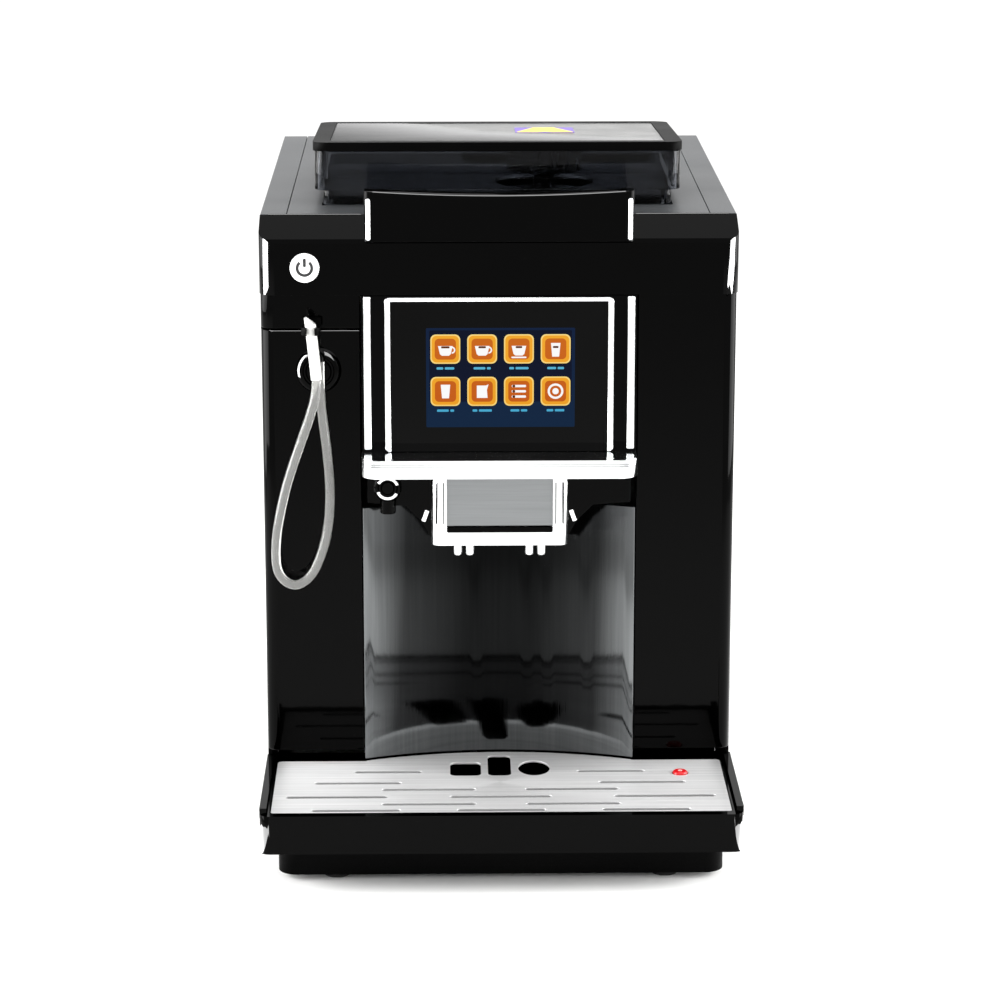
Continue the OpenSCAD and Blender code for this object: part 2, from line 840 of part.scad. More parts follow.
module drip_grille() {
    rows = [
        [-174, 56, [-91, 91]], [-187, 60, [-45.6, 45.6]], [-201, 65, [-104, 0, 104]],
        [-215, 60, [-45.6, 45.6]], [-226.5, 56, [-91, 0, 91]]];
    color("#d9d9d9") difference() {
        translate([0, 0, grille_z - 1.4]) linear_extrude(1.4) difference() {
            union() {
                round_rect([-144.2, -233.2], [144.2, -129.6], 3);
                intersection() {
                    translate([0, arc_y]) circle(arc_r - 1, $fn = 180);
                    translate([-86.4, -131]) square([172.8, 40]);
                }
            }
            for (r = rows, x = r[2]) slot(x, r[0], r[1]);
            for (s = [-1, 1]) slot(s * 72, -152, 44);
            round_rect([-32, -160], [-12, -133], 4);
            round_rect([-7.5, -160], [7.5, -119], 4);
            translate([22.4, -145]) scale([1, 1.45]) circle(10.3);
        }
        rod_z(float_at[0], float_at[1], 40, 60, 5.4);
    }
}

module tray_float() {
    color("#c3161c") {
        rod_z(float_at[0], float_at[1], 33, 42, 12);
        rod_z(float_at[0], float_at[1], 42, 51.6, 4.8);
        translate([float_at[0], float_at[1], 51.6]) cylinder(h = 1, r1 = 4.8, r2 = 4);
    }
}

module grounds_drawer() {
    color("#121212") {
        difference() {
            box([-hw, -61.2, 34.8], [-side_x, 63.2, 139.2]);
            face_pocket();
        }
        difference() {
            union() {
                box([-side_x, -58, 36.2], [-24, 60, 132]);
                box([-side_x, -32, 104], [-134, 34, 134]);
            }
            box([-132, -55.6, 38.6], [-26.4, 57.6, 140]);
            box([-side_x + 2, -55.6, 38.6], [-120, 57.6, 100]);
            face_pocket();
        }
    }
}

// Finger recess in the drawer's outer face.
module face_pocket() {
    box([-160, -28, 108], [-138, 30, 130]);
}

module service_door() {
    color("#101010") difference() {
        union() {
            box([-hw, -70.2, 146.8], [-side_x, 80, 338.2]);
            for (z = [151.5, 271.5]) {
                rod_z(door_pivot[0], door_pivot[1], z, z + 25, 2.8);
                box([-hw, 78, z], [-side_x + 1.4, door_pivot[1], z + 25]);
            }
        }
        for (z = [151.5, 271.5])
            rod_z(door_pivot[0], door_pivot[1], z - EPS, z + 25 + EPS, 1.31);
        box([-160, -71, 226], [-149.2, -58, 258]);
        for (z = [177, 297]) box([-152, 79, z - 0.5], [-148, 81, z + 10.5]);
    }
}

base_pan();
feet();
left_side_panel();
right_side_panel();
side_rails();
top_cover();
rear_panel();
front_band();
power_button();
hood();
chrome_strips();
display_housing();
display_bezel();
display_glass();
display_panel();
control_board();
chrome_visor();
spout_carrier();
cup_lights();
hot_water_outlet();
left_front_panel();
left_upper_panel();
right_front_panel();
backsplash();
milk_port();
tube_clip();
milk_tube();
suction_tip();
inner_frame();
bean_hopper();
grinder_body();
grinder_motor();
burr();
grinder_knob();
lid_frame();
lid_window();
lid_pin();
brew_frame();
brew_piston();
brew_gear();
motor_pinion();
gear_motor();
boiler();
pump();
flow_meter();
hoses();
tank_seat();
water_tank();
tank_lid();
mains_inlet();
rocker_switch();
panel_screws();
spout_shell();
spout_face();
spout_nozzles();
drip_tray();
drip_grille();
tray_float();
grounds_drawer();
service_door();
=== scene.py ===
"""Looks of a countertop bean-to-cup coffee machine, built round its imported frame.

The frame is in metres: +X to the right, the front faces -Y, +Z up. The sizes in the
classes below are in millimetres, and Shape turns them into metres.
"""

import json
import logging
import math
from dataclasses import dataclass
from enum import Enum
from typing import Any, Sequence

import bmesh
import bpy
from mathutils import Matrix, Vector

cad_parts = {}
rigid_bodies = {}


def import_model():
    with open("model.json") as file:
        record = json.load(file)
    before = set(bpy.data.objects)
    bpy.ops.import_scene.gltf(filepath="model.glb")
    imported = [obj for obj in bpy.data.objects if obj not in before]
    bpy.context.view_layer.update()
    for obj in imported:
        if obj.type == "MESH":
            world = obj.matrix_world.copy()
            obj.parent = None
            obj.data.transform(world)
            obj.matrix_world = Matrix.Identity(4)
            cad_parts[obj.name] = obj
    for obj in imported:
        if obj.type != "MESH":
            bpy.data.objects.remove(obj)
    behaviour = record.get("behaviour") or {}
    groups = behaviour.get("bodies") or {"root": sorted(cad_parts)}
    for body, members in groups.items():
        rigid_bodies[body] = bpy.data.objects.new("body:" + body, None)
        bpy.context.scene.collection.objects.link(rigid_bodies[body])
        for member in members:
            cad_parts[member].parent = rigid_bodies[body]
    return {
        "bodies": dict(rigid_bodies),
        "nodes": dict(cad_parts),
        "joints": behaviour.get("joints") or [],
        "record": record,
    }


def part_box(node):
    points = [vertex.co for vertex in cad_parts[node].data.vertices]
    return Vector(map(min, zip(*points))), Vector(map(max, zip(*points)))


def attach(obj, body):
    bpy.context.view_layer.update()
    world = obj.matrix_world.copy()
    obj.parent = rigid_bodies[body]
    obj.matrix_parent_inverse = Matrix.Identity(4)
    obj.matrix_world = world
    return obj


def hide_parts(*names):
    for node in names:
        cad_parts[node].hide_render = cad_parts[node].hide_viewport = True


LOG = logging.getLogger("coffee_machine")
MM = 0.001
Point = tuple[float, float, float]
Outline = Sequence[tuple[float, float]]
Tree = bpy.types.NodeTree
TreeNode = bpy.types.Node
Socket = bpy.types.NodeSocket


# ------------------------------------------------------------------ nodes and colour


def linear(text: str) -> tuple[float, float, float, float]:
    """Turns an sRGB hex colour into linear light.

    Args:
        text: the colour as "#rrggbb".

    Returns:
        Red, green, blue and an alpha of 1.
    """
    shares = [int(text[i : i + 2], 16) / 255 for i in (1, 3, 5)]
    light = [s / 12.92 if s <= 0.04045 else ((s + 0.055) / 1.055) ** 2.4 for s in shares]
    return (light[0], light[1], light[2], 1.0)


def add_node(
    tree: Tree,
    kind: str,
    settings: dict[Any, Any] | None = None,
    links: dict[Any, Socket] | None = None,
) -> TreeNode:
    """Adds a node with its settings and its links.

    Args:
        tree: the tree that gets the node.
        kind: the node's type.
        settings: lower-case names are the node's own properties, "stops" is a colour
            ramp's list of (place, colour), and other keys are inputs' default values.
        links: input name or number to the output that feeds it.

    Returns:
        The new node.
    """
    node = tree.nodes.new(kind)
    for key, value in (settings or {}).items():
        if key == "stops":
            ramp = node.color_ramp
            while len(ramp.elements) < len(value):
                ramp.elements.new(1.0)
            for element, (place, colour) in zip(ramp.elements, value):
                element.position = place
                element.color = linear(colour)
        elif isinstance(key, str) and key.islower():
            setattr(node, key, value)
        else:
            node.inputs[key].default_value = value
    for key, source in (links or {}).items():
        tree.links.new(source, node.inputs[key])
    return node


# ------------------------------------------------------------------ finishes


@dataclass(frozen=True)
class Finish:
    """A surface finish: its colour in sRGB hex and how it takes light."""

    name: str
    slot: str
    colour: str
    roughness: float = 0.4
    metallic: float = 0.0
    specular: float = 0.5

    def material(self) -> bpy.types.Material:
        """Returns the finish's material, made on first use."""
        found = bpy.data.materials.get(self.name)
        if found:
            return found
        material = bpy.data.materials.new(self.name)
        material.use_nodes = True
        tree = material.node_tree
        tree.nodes.clear()
        shader = add_node(
            tree,
            "ShaderNodeBsdfPrincipled",
            {
                "Base Color": linear(self.colour),
                "Roughness": self.roughness,
                "Metallic": self.metallic,
                "Specular IOR Level": self.specular,
            },
        )
        add_node(tree, "ShaderNodeOutputMaterial", links={"Surface": shader.outputs[0]})
        place = add_node(tree, "ShaderNodeTexCoord").outputs["Object"]
        self.pattern(tree, shader, place)
        return material

    def pattern(self, tree: Tree, shader: TreeNode, place: Socket) -> None:
        """Adds what varies over the surface; each kind of finish has its own.

        Args:
            tree: the tree that gets the nodes.
            shader: the finish's Principled shader.
            place: the object's own coordinates.
        """

    def wander(
        self,
        tree: Tree,
        place: Socket,
        size_mm: float,
        low: float,
        high: float,
        detail: float = 2.0,
    ) -> Socket:
        """Gives a number that wanders over the surface.

        Args:
            tree: the material's tree.
            place: the coordinates to read.
            size_mm: about how far it is from one high spot to the next.
            low: the lowest number.
            high: the highest number.
            detail: how many finer layers lie on the first.

        Returns:
            The output that holds the number.
        """
        noise = add_node(
            tree,
            "ShaderNodeTexNoise",
            {"Scale": 1 / (size_mm * MM), "Detail": detail},
            {"Vector": place},
        )
        spread = add_node(
            tree,
            "ShaderNodeMapRange",
            {"From Min": 0.3, "From Max": 0.7, "To Min": low, "To Max": high},
            {"Value": noise.outputs["Fac"]},
        )
        return spread.outputs["Result"]

    def emboss(
        self,
        tree: Tree,
        shader: TreeNode,
        height: Socket,
        depth_mm: float,
        strength: float = 1.0,
    ) -> None:
        """Raises the surface by a height that runs from 0 to 1, depth_mm at most.

        Args:
            tree: the tree that gets the nodes.
            shader: the finish's Principled shader.
            height: the height, from 0 to 1.
            depth_mm: how far a height of 1 stands up.
            strength: how much of the bump shows.
        """
        bump = add_node(
            tree,
            "ShaderNodeBump",
            {"Distance": depth_mm * MM, "Strength": strength},
            {"Height": height},
        )
        tree.links.new(bump.outputs["Normal"], shader.inputs["Normal"])

    def shade(
        self,
        tree: Tree,
        shader: TreeNode,
        share: Socket,
        other: str,
    ) -> None:
        """Mixes the base colour with another by share.

        Args:
            tree: the tree that gets the nodes.
            shader: the finish's Principled shader.
            share: how much of the other colour, from 0 to 1.
            other: the other colour in sRGB hex.
        """
        mix = add_node(
            tree,
            "ShaderNodeMix",
            {"data_type": "RGBA", 6: linear(self.colour), 7: linear(other)},
            {0: share},
        )
        tree.links.new(mix.outputs[2], shader.inputs["Base Color"])


@dataclass(frozen=True)
class Moulded(Finish):
    """Injection-moulded plastic: the tool's grain shows, and flow makes the gloss drift."""

    tint: str = "#0f0f10"
    grain_mm: float = 1.2
    depth_mm: float = 0.02
    drift: float = 0.05
    glow: str = ""
    glow_strength: float = 0.0

    def pattern(self, tree: Tree, shader: TreeNode, place: Socket) -> None:
        """Adds grain, drifting gloss and a slight drift of colour.

        Args:
            tree: the tree that gets the nodes.
            shader: the finish's Principled shader.
            place: the object's own coordinates.
        """
        gloss = self.wander(tree, place, 70, self.roughness, self.roughness + self.drift)
        tree.links.new(gloss, shader.inputs["Roughness"])
        self.shade(tree, shader, self.wander(tree, place, 110, 0, 1), self.tint)
        grain = self.wander(tree, place, self.grain_mm, 0, 1)
        self.emboss(tree, shader, grain, self.depth_mm)
        if self.glow:
            shader.inputs["Emission Color"].default_value = linear(self.glow)
            shader.inputs["Emission Strength"].default_value = self.glow_strength


@dataclass(frozen=True)
class Plated(Finish):
    """Chrome plating on plastic: a mirror with the faint waves of the part beneath."""

    wave_mm: float = 14.0

    def pattern(self, tree: Tree, shader: TreeNode, place: Socket) -> None:
        """Adds slow waves and wiping marks.

        Args:
            tree: the tree that gets the nodes.
            shader: the finish's Principled shader.
            place: the object's own coordinates.
        """
        haze = self.wander(tree, place, 30, self.roughness, self.roughness + 0.06, 5)
        tree.links.new(haze, shader.inputs["Roughness"])
        self.emboss(tree, shader, self.wander(tree, place, self.wave_mm, 0, 1, 0), 0.05, 0.5)


@dataclass(frozen=True)
class Brushed(Finish):
    """Brushed sheet metal: long fine scratches that all run one way.

    grit_mm is the width of a scratch, drawn about five times as coarse as it is, so that
    it shows; run gives the scratches' length along X, Y and Z in widths.
    """

    grit_mm: float = 0.6
    run: Point = (1.0, 1.0, 60.0)
    worn: str = "#b9bbbc"
    spread: float = 0.14
    anisotropic: float = 0.6

    def pattern(self, tree: Tree, shader: TreeNode, place: Socket) -> None:
        """Adds scratches to the gloss, the colour and the surface.

        Args:
            tree: the tree that gets the nodes.
            shader: the finish's Principled shader.
            place: the object's own coordinates.
        """
        stretch = tuple(1 / length for length in self.run)
        along = add_node(
            tree, "ShaderNodeMapping", {"Scale": stretch}, {"Vector": place}
        ).outputs["Vector"]
        gloss = self.wander(
            tree, along, self.grit_mm, self.roughness, self.roughness + self.spread, 4
        )
        tree.links.new(gloss, shader.inputs["Roughness"])
        self.shade(tree, shader, self.wander(tree, along, self.grit_mm * 3, 0, 1), self.worn)
        self.emboss(tree, shader, self.wander(tree, along, self.grit_mm, 0, 1), 0.012)
        shader.inputs["Anisotropic"].default_value = self.anisotropic


@dataclass(frozen=True)
class Coated(Finish):
    """Powder coat or paint: the orange peel of a film that flowed before it set."""

    tint: str = "#1c1c1d"
    peel_mm: float = 1.8
    depth_mm: float = 0.04

    def pattern(self, tree: Tree, shader: TreeNode, place: Socket) -> None:
        """Adds orange peel and a drift of shade."""
        self.shade(tree, shader, self.wander(tree, place, 90, 0, 1), self.tint)
        self.emboss(tree, shader, self.wander(tree, place, self.peel_mm, 0, 1), self.depth_mm)


@dataclass(frozen=True)
class Cast(Finish):
    """Cast or turned metal: a coarse skin with darker pits."""

    pit: str = "#55585a"
    skin_mm: float = 2.4

    def pattern(self, tree: Tree, shader: TreeNode, place: Socket) -> None:
        """Adds pits and the skin's lumps.

        Args:
            tree: the tree that gets the nodes.
            shader: the finish's Principled shader.
            place: the object's own coordinates.
        """
        cells = add_node(
            tree,
            "ShaderNodeTexVoronoi",
            {"Scale": 1 / (self.skin_mm * MM)},
            {"Vector": place},
        ).outputs["Distance"]
        self.shade(tree, shader, self.wander(tree, place, 9, 0, 0.8, 5), self.pit)
        self.emboss(tree, shader, cells, 0.12, 0.6)
        gloss = self.wander(tree, place, 16, self.roughness, self.roughness + 0.15)
        tree.links.new(gloss, shader.inputs["Roughness"])


@dataclass(frozen=True)
class Clear(Finish):
    """See-through plastic, glass or silicone: light goes in, and its tint deepens inside."""

    index: float = 1.5
    through: float = 1.0
    ripple_mm: float = 25.0

    def pattern(self, tree: Tree, shader: TreeNode, place: Socket) -> None:
        """Adds the way light goes through and the faint ripple of a moulding.

        Args:
            tree: the tree that gets the nodes.
            shader: the finish's Principled shader.
            place: the object's own coordinates.
        """
        shader.inputs["IOR"].default_value = self.index
        shader.inputs["Transmission Weight"].default_value = self.through
        haze = self.wander(tree, place, 40, self.roughness, self.roughness + 0.05)
        tree.links.new(haze, shader.inputs["Roughness"])
        self.emboss(tree, shader, self.wander(tree, place, self.ripple_mm, 0, 1, 0), 0.03)


@dataclass(frozen=True)
class Circuit(Finish):
    """Glass-fibre board under solder mask, with copper tracks that show through it."""

    copper: str = "#3f8a4a"
    pitch_mm: float = 5.0

    def pattern(self, tree: Tree, shader: TreeNode, place: Socket) -> None:
        """Adds tracks as a stretched brick pattern that faces the front.

        Args:
            tree: the tree that gets the nodes.
            shader: the finish's Principled shader.
            place: the object's own coordinates.
        """
        turned = add_node(
            tree,
            "ShaderNodeMapping",
            {"Rotation": (math.radians(90), 0, 0)},
            {"Vector": place},
        ).outputs["Vector"]
        tracks = add_node(
            tree,
            "ShaderNodeTexBrick",
            {"Scale": 1 / (self.pitch_mm * MM), "Mortar Size": 0.06},
            {"Vector": turned},
        )
        self.shade(tree, shader, tracks.outputs["Fac"], self.copper)
        self.emboss(tree, shader, tracks.outputs["Fac"], 0.05)


@dataclass(frozen=True)
class Lit(Finish):
    """A lit display: light from behind, brighter towards the top of each row of dots."""

    top: str = "#ffffff"
    strength: float = 1.0
    low_mm: float = 277.0
    high_mm: float = 341.0
    dot_mm: float = 0.8

    def pattern(self, tree: Tree, shader: TreeNode, place: Socket) -> None:
        """Adds the light as a ramp up the picture, crossed by the rows of dots.

        Args:
            tree: the tree that gets the nodes.
            shader: the finish's Principled shader.
            place: the object's own coordinates.
        """
        height = add_node(tree, "ShaderNodeSeparateXYZ", links={0: place}).outputs["Z"]
        share = add_node(
            tree,
            "ShaderNodeMapRange",
            {"From Min": self.low_mm * MM, "From Max": self.high_mm * MM},
            {"Value": height},
        )
        ramp = add_node(
            tree,
            "ShaderNodeValToRGB",
            {"stops": [(0.0, self.colour), (1.0, self.top)]},
            {"Fac": share.outputs["Result"]},
        )
        rows = add_node(
            tree,
            "ShaderNodeTexWave",
            {"bands_direction": "Z", "Scale": 0.314 / (self.dot_mm * MM), "Distortion": 0.0},
            {"Vector": place},
        )
        dim = add_node(
            tree,
            "ShaderNodeMapRange",
            {"To Min": self.strength * 0.9, "To Max": self.strength},
            {"Value": rows.outputs["Fac"]},
        )
        shader.inputs["Base Color"].default_value = linear("#010101")
        shader.inputs["Specular IOR Level"].default_value = 0.05
        tree.links.new(ramp.outputs["Color"], shader.inputs["Emission Color"])
        tree.links.new(dim.outputs["Result"], shader.inputs["Emission Strength"])


# ABS, polished tool: deep black with a mirror gloss that drifts a little.
PIANO_BLACK = Moulded("polished_black_abs", "gloss_black_abs", "#000000", 0.04,
                      specular=0.05, tint="#000000", grain_mm=9, depth_mm=0.006, drift=0.02)
# ABS, spark-eroded tool: an even fine grain that scatters light.
SATIN_BLACK = Moulded("spark_eroded_black_abs", "satin_black_abs", "#010101", 0.42,
                      specular=0.03, tint="#030303", grain_mm=0.9, depth_mm=0.05)
# ABS, sprayed silver-grey: a soft metallic sparkle under a matt lacquer.
SILVER_PAINT = Moulded("sprayed_silver_abs", "silver_abs", "#434547", 0.4, 0.25,
                       tint="#3a3c3e", grain_mm=0.7, depth_mm=0.03)
# Chromium on copper-plated ABS: near-white mirror.
CHROME = Plated("chrome_on_abs", "chrome_plate", "#f1f2f3", 0.1, 1.0)
# Stainless sheet, brushed upright: broad soft streaks of light.
BACK_PLATE = Brushed("upright_brushed_stainless", "brushed_stainless", "#646667", 0.07, 1.0,
                     worn="#6d6f70", spread=0.05, anisotropic=0.0)
# Stainless sheet, brushed crossways and lacquered: an even mid grey.
FACE_PLATE = Brushed("cross_brushed_stainless", "brushed_stainless", "#7c7e7f", 0.42, 1.0,
                     run=(60.0, 1.0, 1.0), worn="#818384")
# Stainless sheet, punched and polished: bright, with fine marks along its length.
GRILLE_STEEL = Brushed("polished_punched_stainless", "polished_stainless", "#d4d4d4", 0.36,
                       0.6, run=(70.0, 1.0, 1.0), worn="#e6e6e6")
# Printed touch glass: black ink under a smooth face.
TOUCH_GLASS = Moulded("printed_touch_glass", "screen_glass", "#010101", 0.03,
                      specular=0.07, tint="#030303", grain_mm=30, depth_mm=0.004, drift=0.02)
DISPLAY_CASE = Moulded("display_module_case", "lcd_module", "#0b1a2b", 0.35)
BOARD = Circuit("solder_masked_board", "circuit_board", "#1d5a2c", 0.45)
# Frosted lens in front of a white lamp.
LAMP = Moulded("frosted_lamp_lens", "lamp_lens", "#f4f4f0", 0.3, tint="#ffffff",
               glow="#ffffff", glow_strength=0.5)
# White key cap, lit from behind.
KEY_CAP = Moulded("back_lit_key_cap", "button_cap", "#f3f3f1", 0.25, tint="#ffffff",
                  glow="#ffffff", glow_strength=0.15, grain_mm=2)
KEY_INK = Moulded("key_symbol_ink", "button_cap", "#1a1a1c", 0.5, tint="#222224")
RUBBER = Moulded("moulded_rubber", "rubber_foot", "#151515", 0.78, specular=0.3,
                 tint="#1d1d1d", grain_mm=1.6, depth_mm=0.09)
# Platinum-cured silicone tube: clear with a milky wall.
SILICONE = Clear("clear_silicone_tube", "silicone_tube", "#ecece9", 0.12, index=1.41,
                 through=0.88)
# Polypropylene pipe: stiffer and whiter than silicone.
SUCTION_PIPE = Clear("milky_polypropylene", "suction_pipe", "#fbfbf8", 0.22, index=1.49,
                     through=0.35)
# Styrene acrylonitrile tinted smoke: dark, and clear enough to see the knob through.
# The index is set below the plastic's own 1.5, or the studio's image would hide the inside.
SMOKE = Clear("smoked_clear_hopper", "smoke_plastic", "#6e7177", 0.05, specular=0.12, index=1.2)
LID_SMOKE = Clear("smoked_clear_lid", "lid_smoke", "#4a4c50", 0.06, specular=0.2, index=1.14)
GALVANISED = Cast("spangled_galvanised_sheet", "galvanised_steel", "#8d9194", 0.42, 0.8,
                  pit="#777b7e", skin_mm=9)
REAR_COAT = Coated("black_powder_coat", "rear_steel", "#121213", 0.55)
CAST_ALUMINIUM = Cast("die_cast_aluminium", "cast_aluminium", "#a3a6a8", 0.42, 1.0,
                      pit="#85888a")
MOTOR_STEEL = Brushed("zinc_plated_motor_can", "motor_steel", "#9c9ea0", 0.3, 1.0)
BURR_STEEL = Cast("hardened_burr_steel", "burr_steel", "#8b8d8f", 0.28, 1.0, pit="#6f7173")
# Glass-filled nylon: dark, slightly mottled where the fibres reach the face.
FILLED_NYLON = Moulded("glass_filled_nylon", "knob_nylon", "#121213", 0.34, tint="#1d1e20",
                       grain_mm=1.1, depth_mm=0.04)
# The knob's flutes are polished, so each one takes a line of light.
KNOB_GREY = Moulded("polished_fluted_knob", "knob_nylon", "#2c2d2f", 0.2, specular=0.8,
                    tint="#242527", grain_mm=3, depth_mm=0.02)
PIN_STEEL = Plated("ground_stainless_pin", "steel_pin", "#c4c5c6", 0.18, 1.0, wave_mm=3)
BREW_NYLON = Moulded("brewing_unit_nylon", "brew_nylon", "#25282b", 0.5, tint="#2e3235",
                     grain_mm=1.4, depth_mm=0.05)
PISTON_ACETAL = Moulded("natural_acetal_piston", "piston_acetal", "#cfcfc8", 0.36,
                        tint="#c2c2ba")
GEAR_ACETAL = Moulded("natural_acetal_gear", "gear_acetal", "#e2dcc6", 0.34, tint="#d8d1b8")
BRASS = Cast("machined_brass", "brass", "#c39a4a", 0.24, 1.0, pit="#a17c35", skin_mm=1.2)
CLEAR_BODY = Clear("natural_polypropylene", "flow_body", "#e9e9e4", 0.3, through=0.3)
HOSE = Clear("silicone_hose", "hose_silicone", "#ecece4", 0.32, index=1.41, through=0.3)
# Tinted styrene acrylonitrile: a clear tank with a blue-grey edge.
TANK_CLEAR = Clear("tinted_tank_plastic", "tank_plastic", "#c3d2db", 0.07, index=1.52,
                   through=0.95)
ROCKER_RED = Moulded("red_nylon_rocker", "rocker_red", "#b3160f", 0.3, tint="#a0120c")
SCREW_ZINC = Plated("zinc_plated_screw", "zinc_screw", "#bfc1c2", 0.25, 1.0, wave_mm=1.5)
FLOAT_RED = Moulded("red_polypropylene_float", "float_red", "#d0121a", 0.3, tint="#b80f16")
# A painted highlight: the pale ring on top of the float stands for its glint.
FLOAT_GLINT_PAINT = Moulded("painted_float_glint", "float_red", "#e9dcda", 0.4, tint="#e2c9c6")
# The picture on the display: a navy ground, gold tiles, and marks on them.
SCREEN_BLUE = Lit("display_navy_ground", "lcd_module", "#06223f", 0.4, top="#061c3c")
SCREEN_DARK = Lit("display_dark_field", "lcd_module", "#020e2c", 0.4, top="#010a22")
TILE_GOLD = Lit("display_gold_tile", "lcd_module", "#f0a020", 0.4, top="#f6ab2c")
TILE_EDGE = Lit("display_pale_edge", "lcd_module", "#ffd873", 0.4, top="#ffe08a")
TILE_AMBER = Lit("display_amber_field", "lcd_module", "#c4570f", 0.4, top="#cf6a18")
MARK_WHITE = Lit("display_white_mark", "lcd_module", "#ffffff", 0.4, strength=1.0)
MARK_BROWN = Lit("display_brown_mark", "lcd_module", "#5a2a12", 0.4, top="#6e3617",
                 strength=0.8)
CAPTION_CYAN = Lit("display_cyan_dash", "lcd_module", "#49b9e6", 0.4, top="#6fd0f2",
                   strength=0.8)
YELLOW_INK = Moulded("yellow_printed_label", "lid_smoke", "#f0d445", 0.4, tint="#e9c93a")
VIOLET_INK = Moulded("violet_printed_edge", "lid_smoke", "#6b4fb0", 0.4, tint="#5d43a4")
# Satin chrome: rougher, so that it takes the whole room as an even pale grey.
SATIN_CHROME = Plated("satin_chrome_on_abs", "chrome_plate", "#f4f5f5", 0.38, 1.0)
# Grey strips on the chrome visor: painted shade that stands for its fine grooves.
GROOVE_SHADE_GREY = Moulded("painted_groove_shade", "chrome_plate", "#8a8c8e", 0.5, tint="#808284")


# ------------------------------------------------------------------ shapes


class Facing(Enum):
    """Where a flat outline looks, as the directions of its own u, v and depth."""

    FRONT = ((1, 0, 0), (0, 0, 1), (0, -1, 0))
    BACK = ((-1, 0, 0), (0, 0, 1), (0, 1, 0))
    TOP = ((1, 0, 0), (0, 1, 0), (0, 0, 1))
    DOWN = ((1, 0, 0), (0, -1, 0), (0, 0, -1))
    LEFT = ((0, -1, 0), (0, 0, 1), (-1, 0, 0))

    def at(self, origin: Point, u: float, v: float, out: float) -> Vector:
        """Returns the point at u, v and depth out from the origin."""
        across, up, away = (Vector(axis) for axis in self.value)
        return Vector(origin) + across * u + up * v + away * out


def rounded(width: float, height: float, radius: float, steps: int = 6) -> list:
    """Gives a rectangle with round corners, about its own middle.

    Args:
        width: size along u.
        height: size along v.
        radius: corner radius.
        steps: straight pieces in each corner.

    Returns:
        The outline, anticlockwise.
    """
    corners = [(1, -1, -90), (1, 1, 0), (-1, 1, 90), (-1, -1, 180)]
    return [
        (
            sx * (width / 2 - radius) + radius * math.cos(math.radians(start + 90 * i / steps)),
            sy * (height / 2 - radius) + radius * math.sin(math.radians(start + 90 * i / steps)),
        )
        for sx, sy, start in corners
        for i in range(steps + 1)
    ]


def moved(outline: Outline, du: float, dv: float) -> list:
    """Returns an outline shifted by du and dv."""
    return [(u + du, v + dv) for u, v in outline]


def arc_band(inner: float, outer: float, start: float, end: float, steps: int = 24) -> list:
    """Gives a band of a ring from one angle to another.

    Args:
        inner: inner radius.
        outer: outer radius.
        start: first angle, degrees.
        end: last angle, degrees.
        steps: straight pieces along it.

    Returns:
        The outline, anticlockwise.
    """
    turns = [math.radians(start + (end - start) * i / steps) for i in range(steps + 1)]
    out = [(outer * math.cos(t), outer * math.sin(t)) for t in turns]
    back = [(inner * math.cos(t), inner * math.sin(t)) for t in reversed(turns)]
    return out + back


def smooth_route(points: Sequence[Point], steps: int) -> list[Vector]:
    """Runs a smooth curve through points.

    Args:
        points: the points, in order.
        steps: how many pieces lie between two of them.

    Returns:
        The points of the curve, both ends included.
    """
    known = [Vector(p) for p in points]
    route = []
    for i in range(len(known) - 1):
        before = known[max(i - 1, 0)]
        here, there = known[i], known[i + 1]
        after = known[min(i + 2, len(known) - 1)]
        for k in range(steps):
            t = k / steps
            route.append(
                0.5
                * (
                    2 * here
                    + (there - before) * t
                    + (2 * before - 5 * here + 4 * there - after) * t**2
                    + (3 * here - before - 3 * there + after) * t**3
                )
            )
    return [*route, known[-1]]


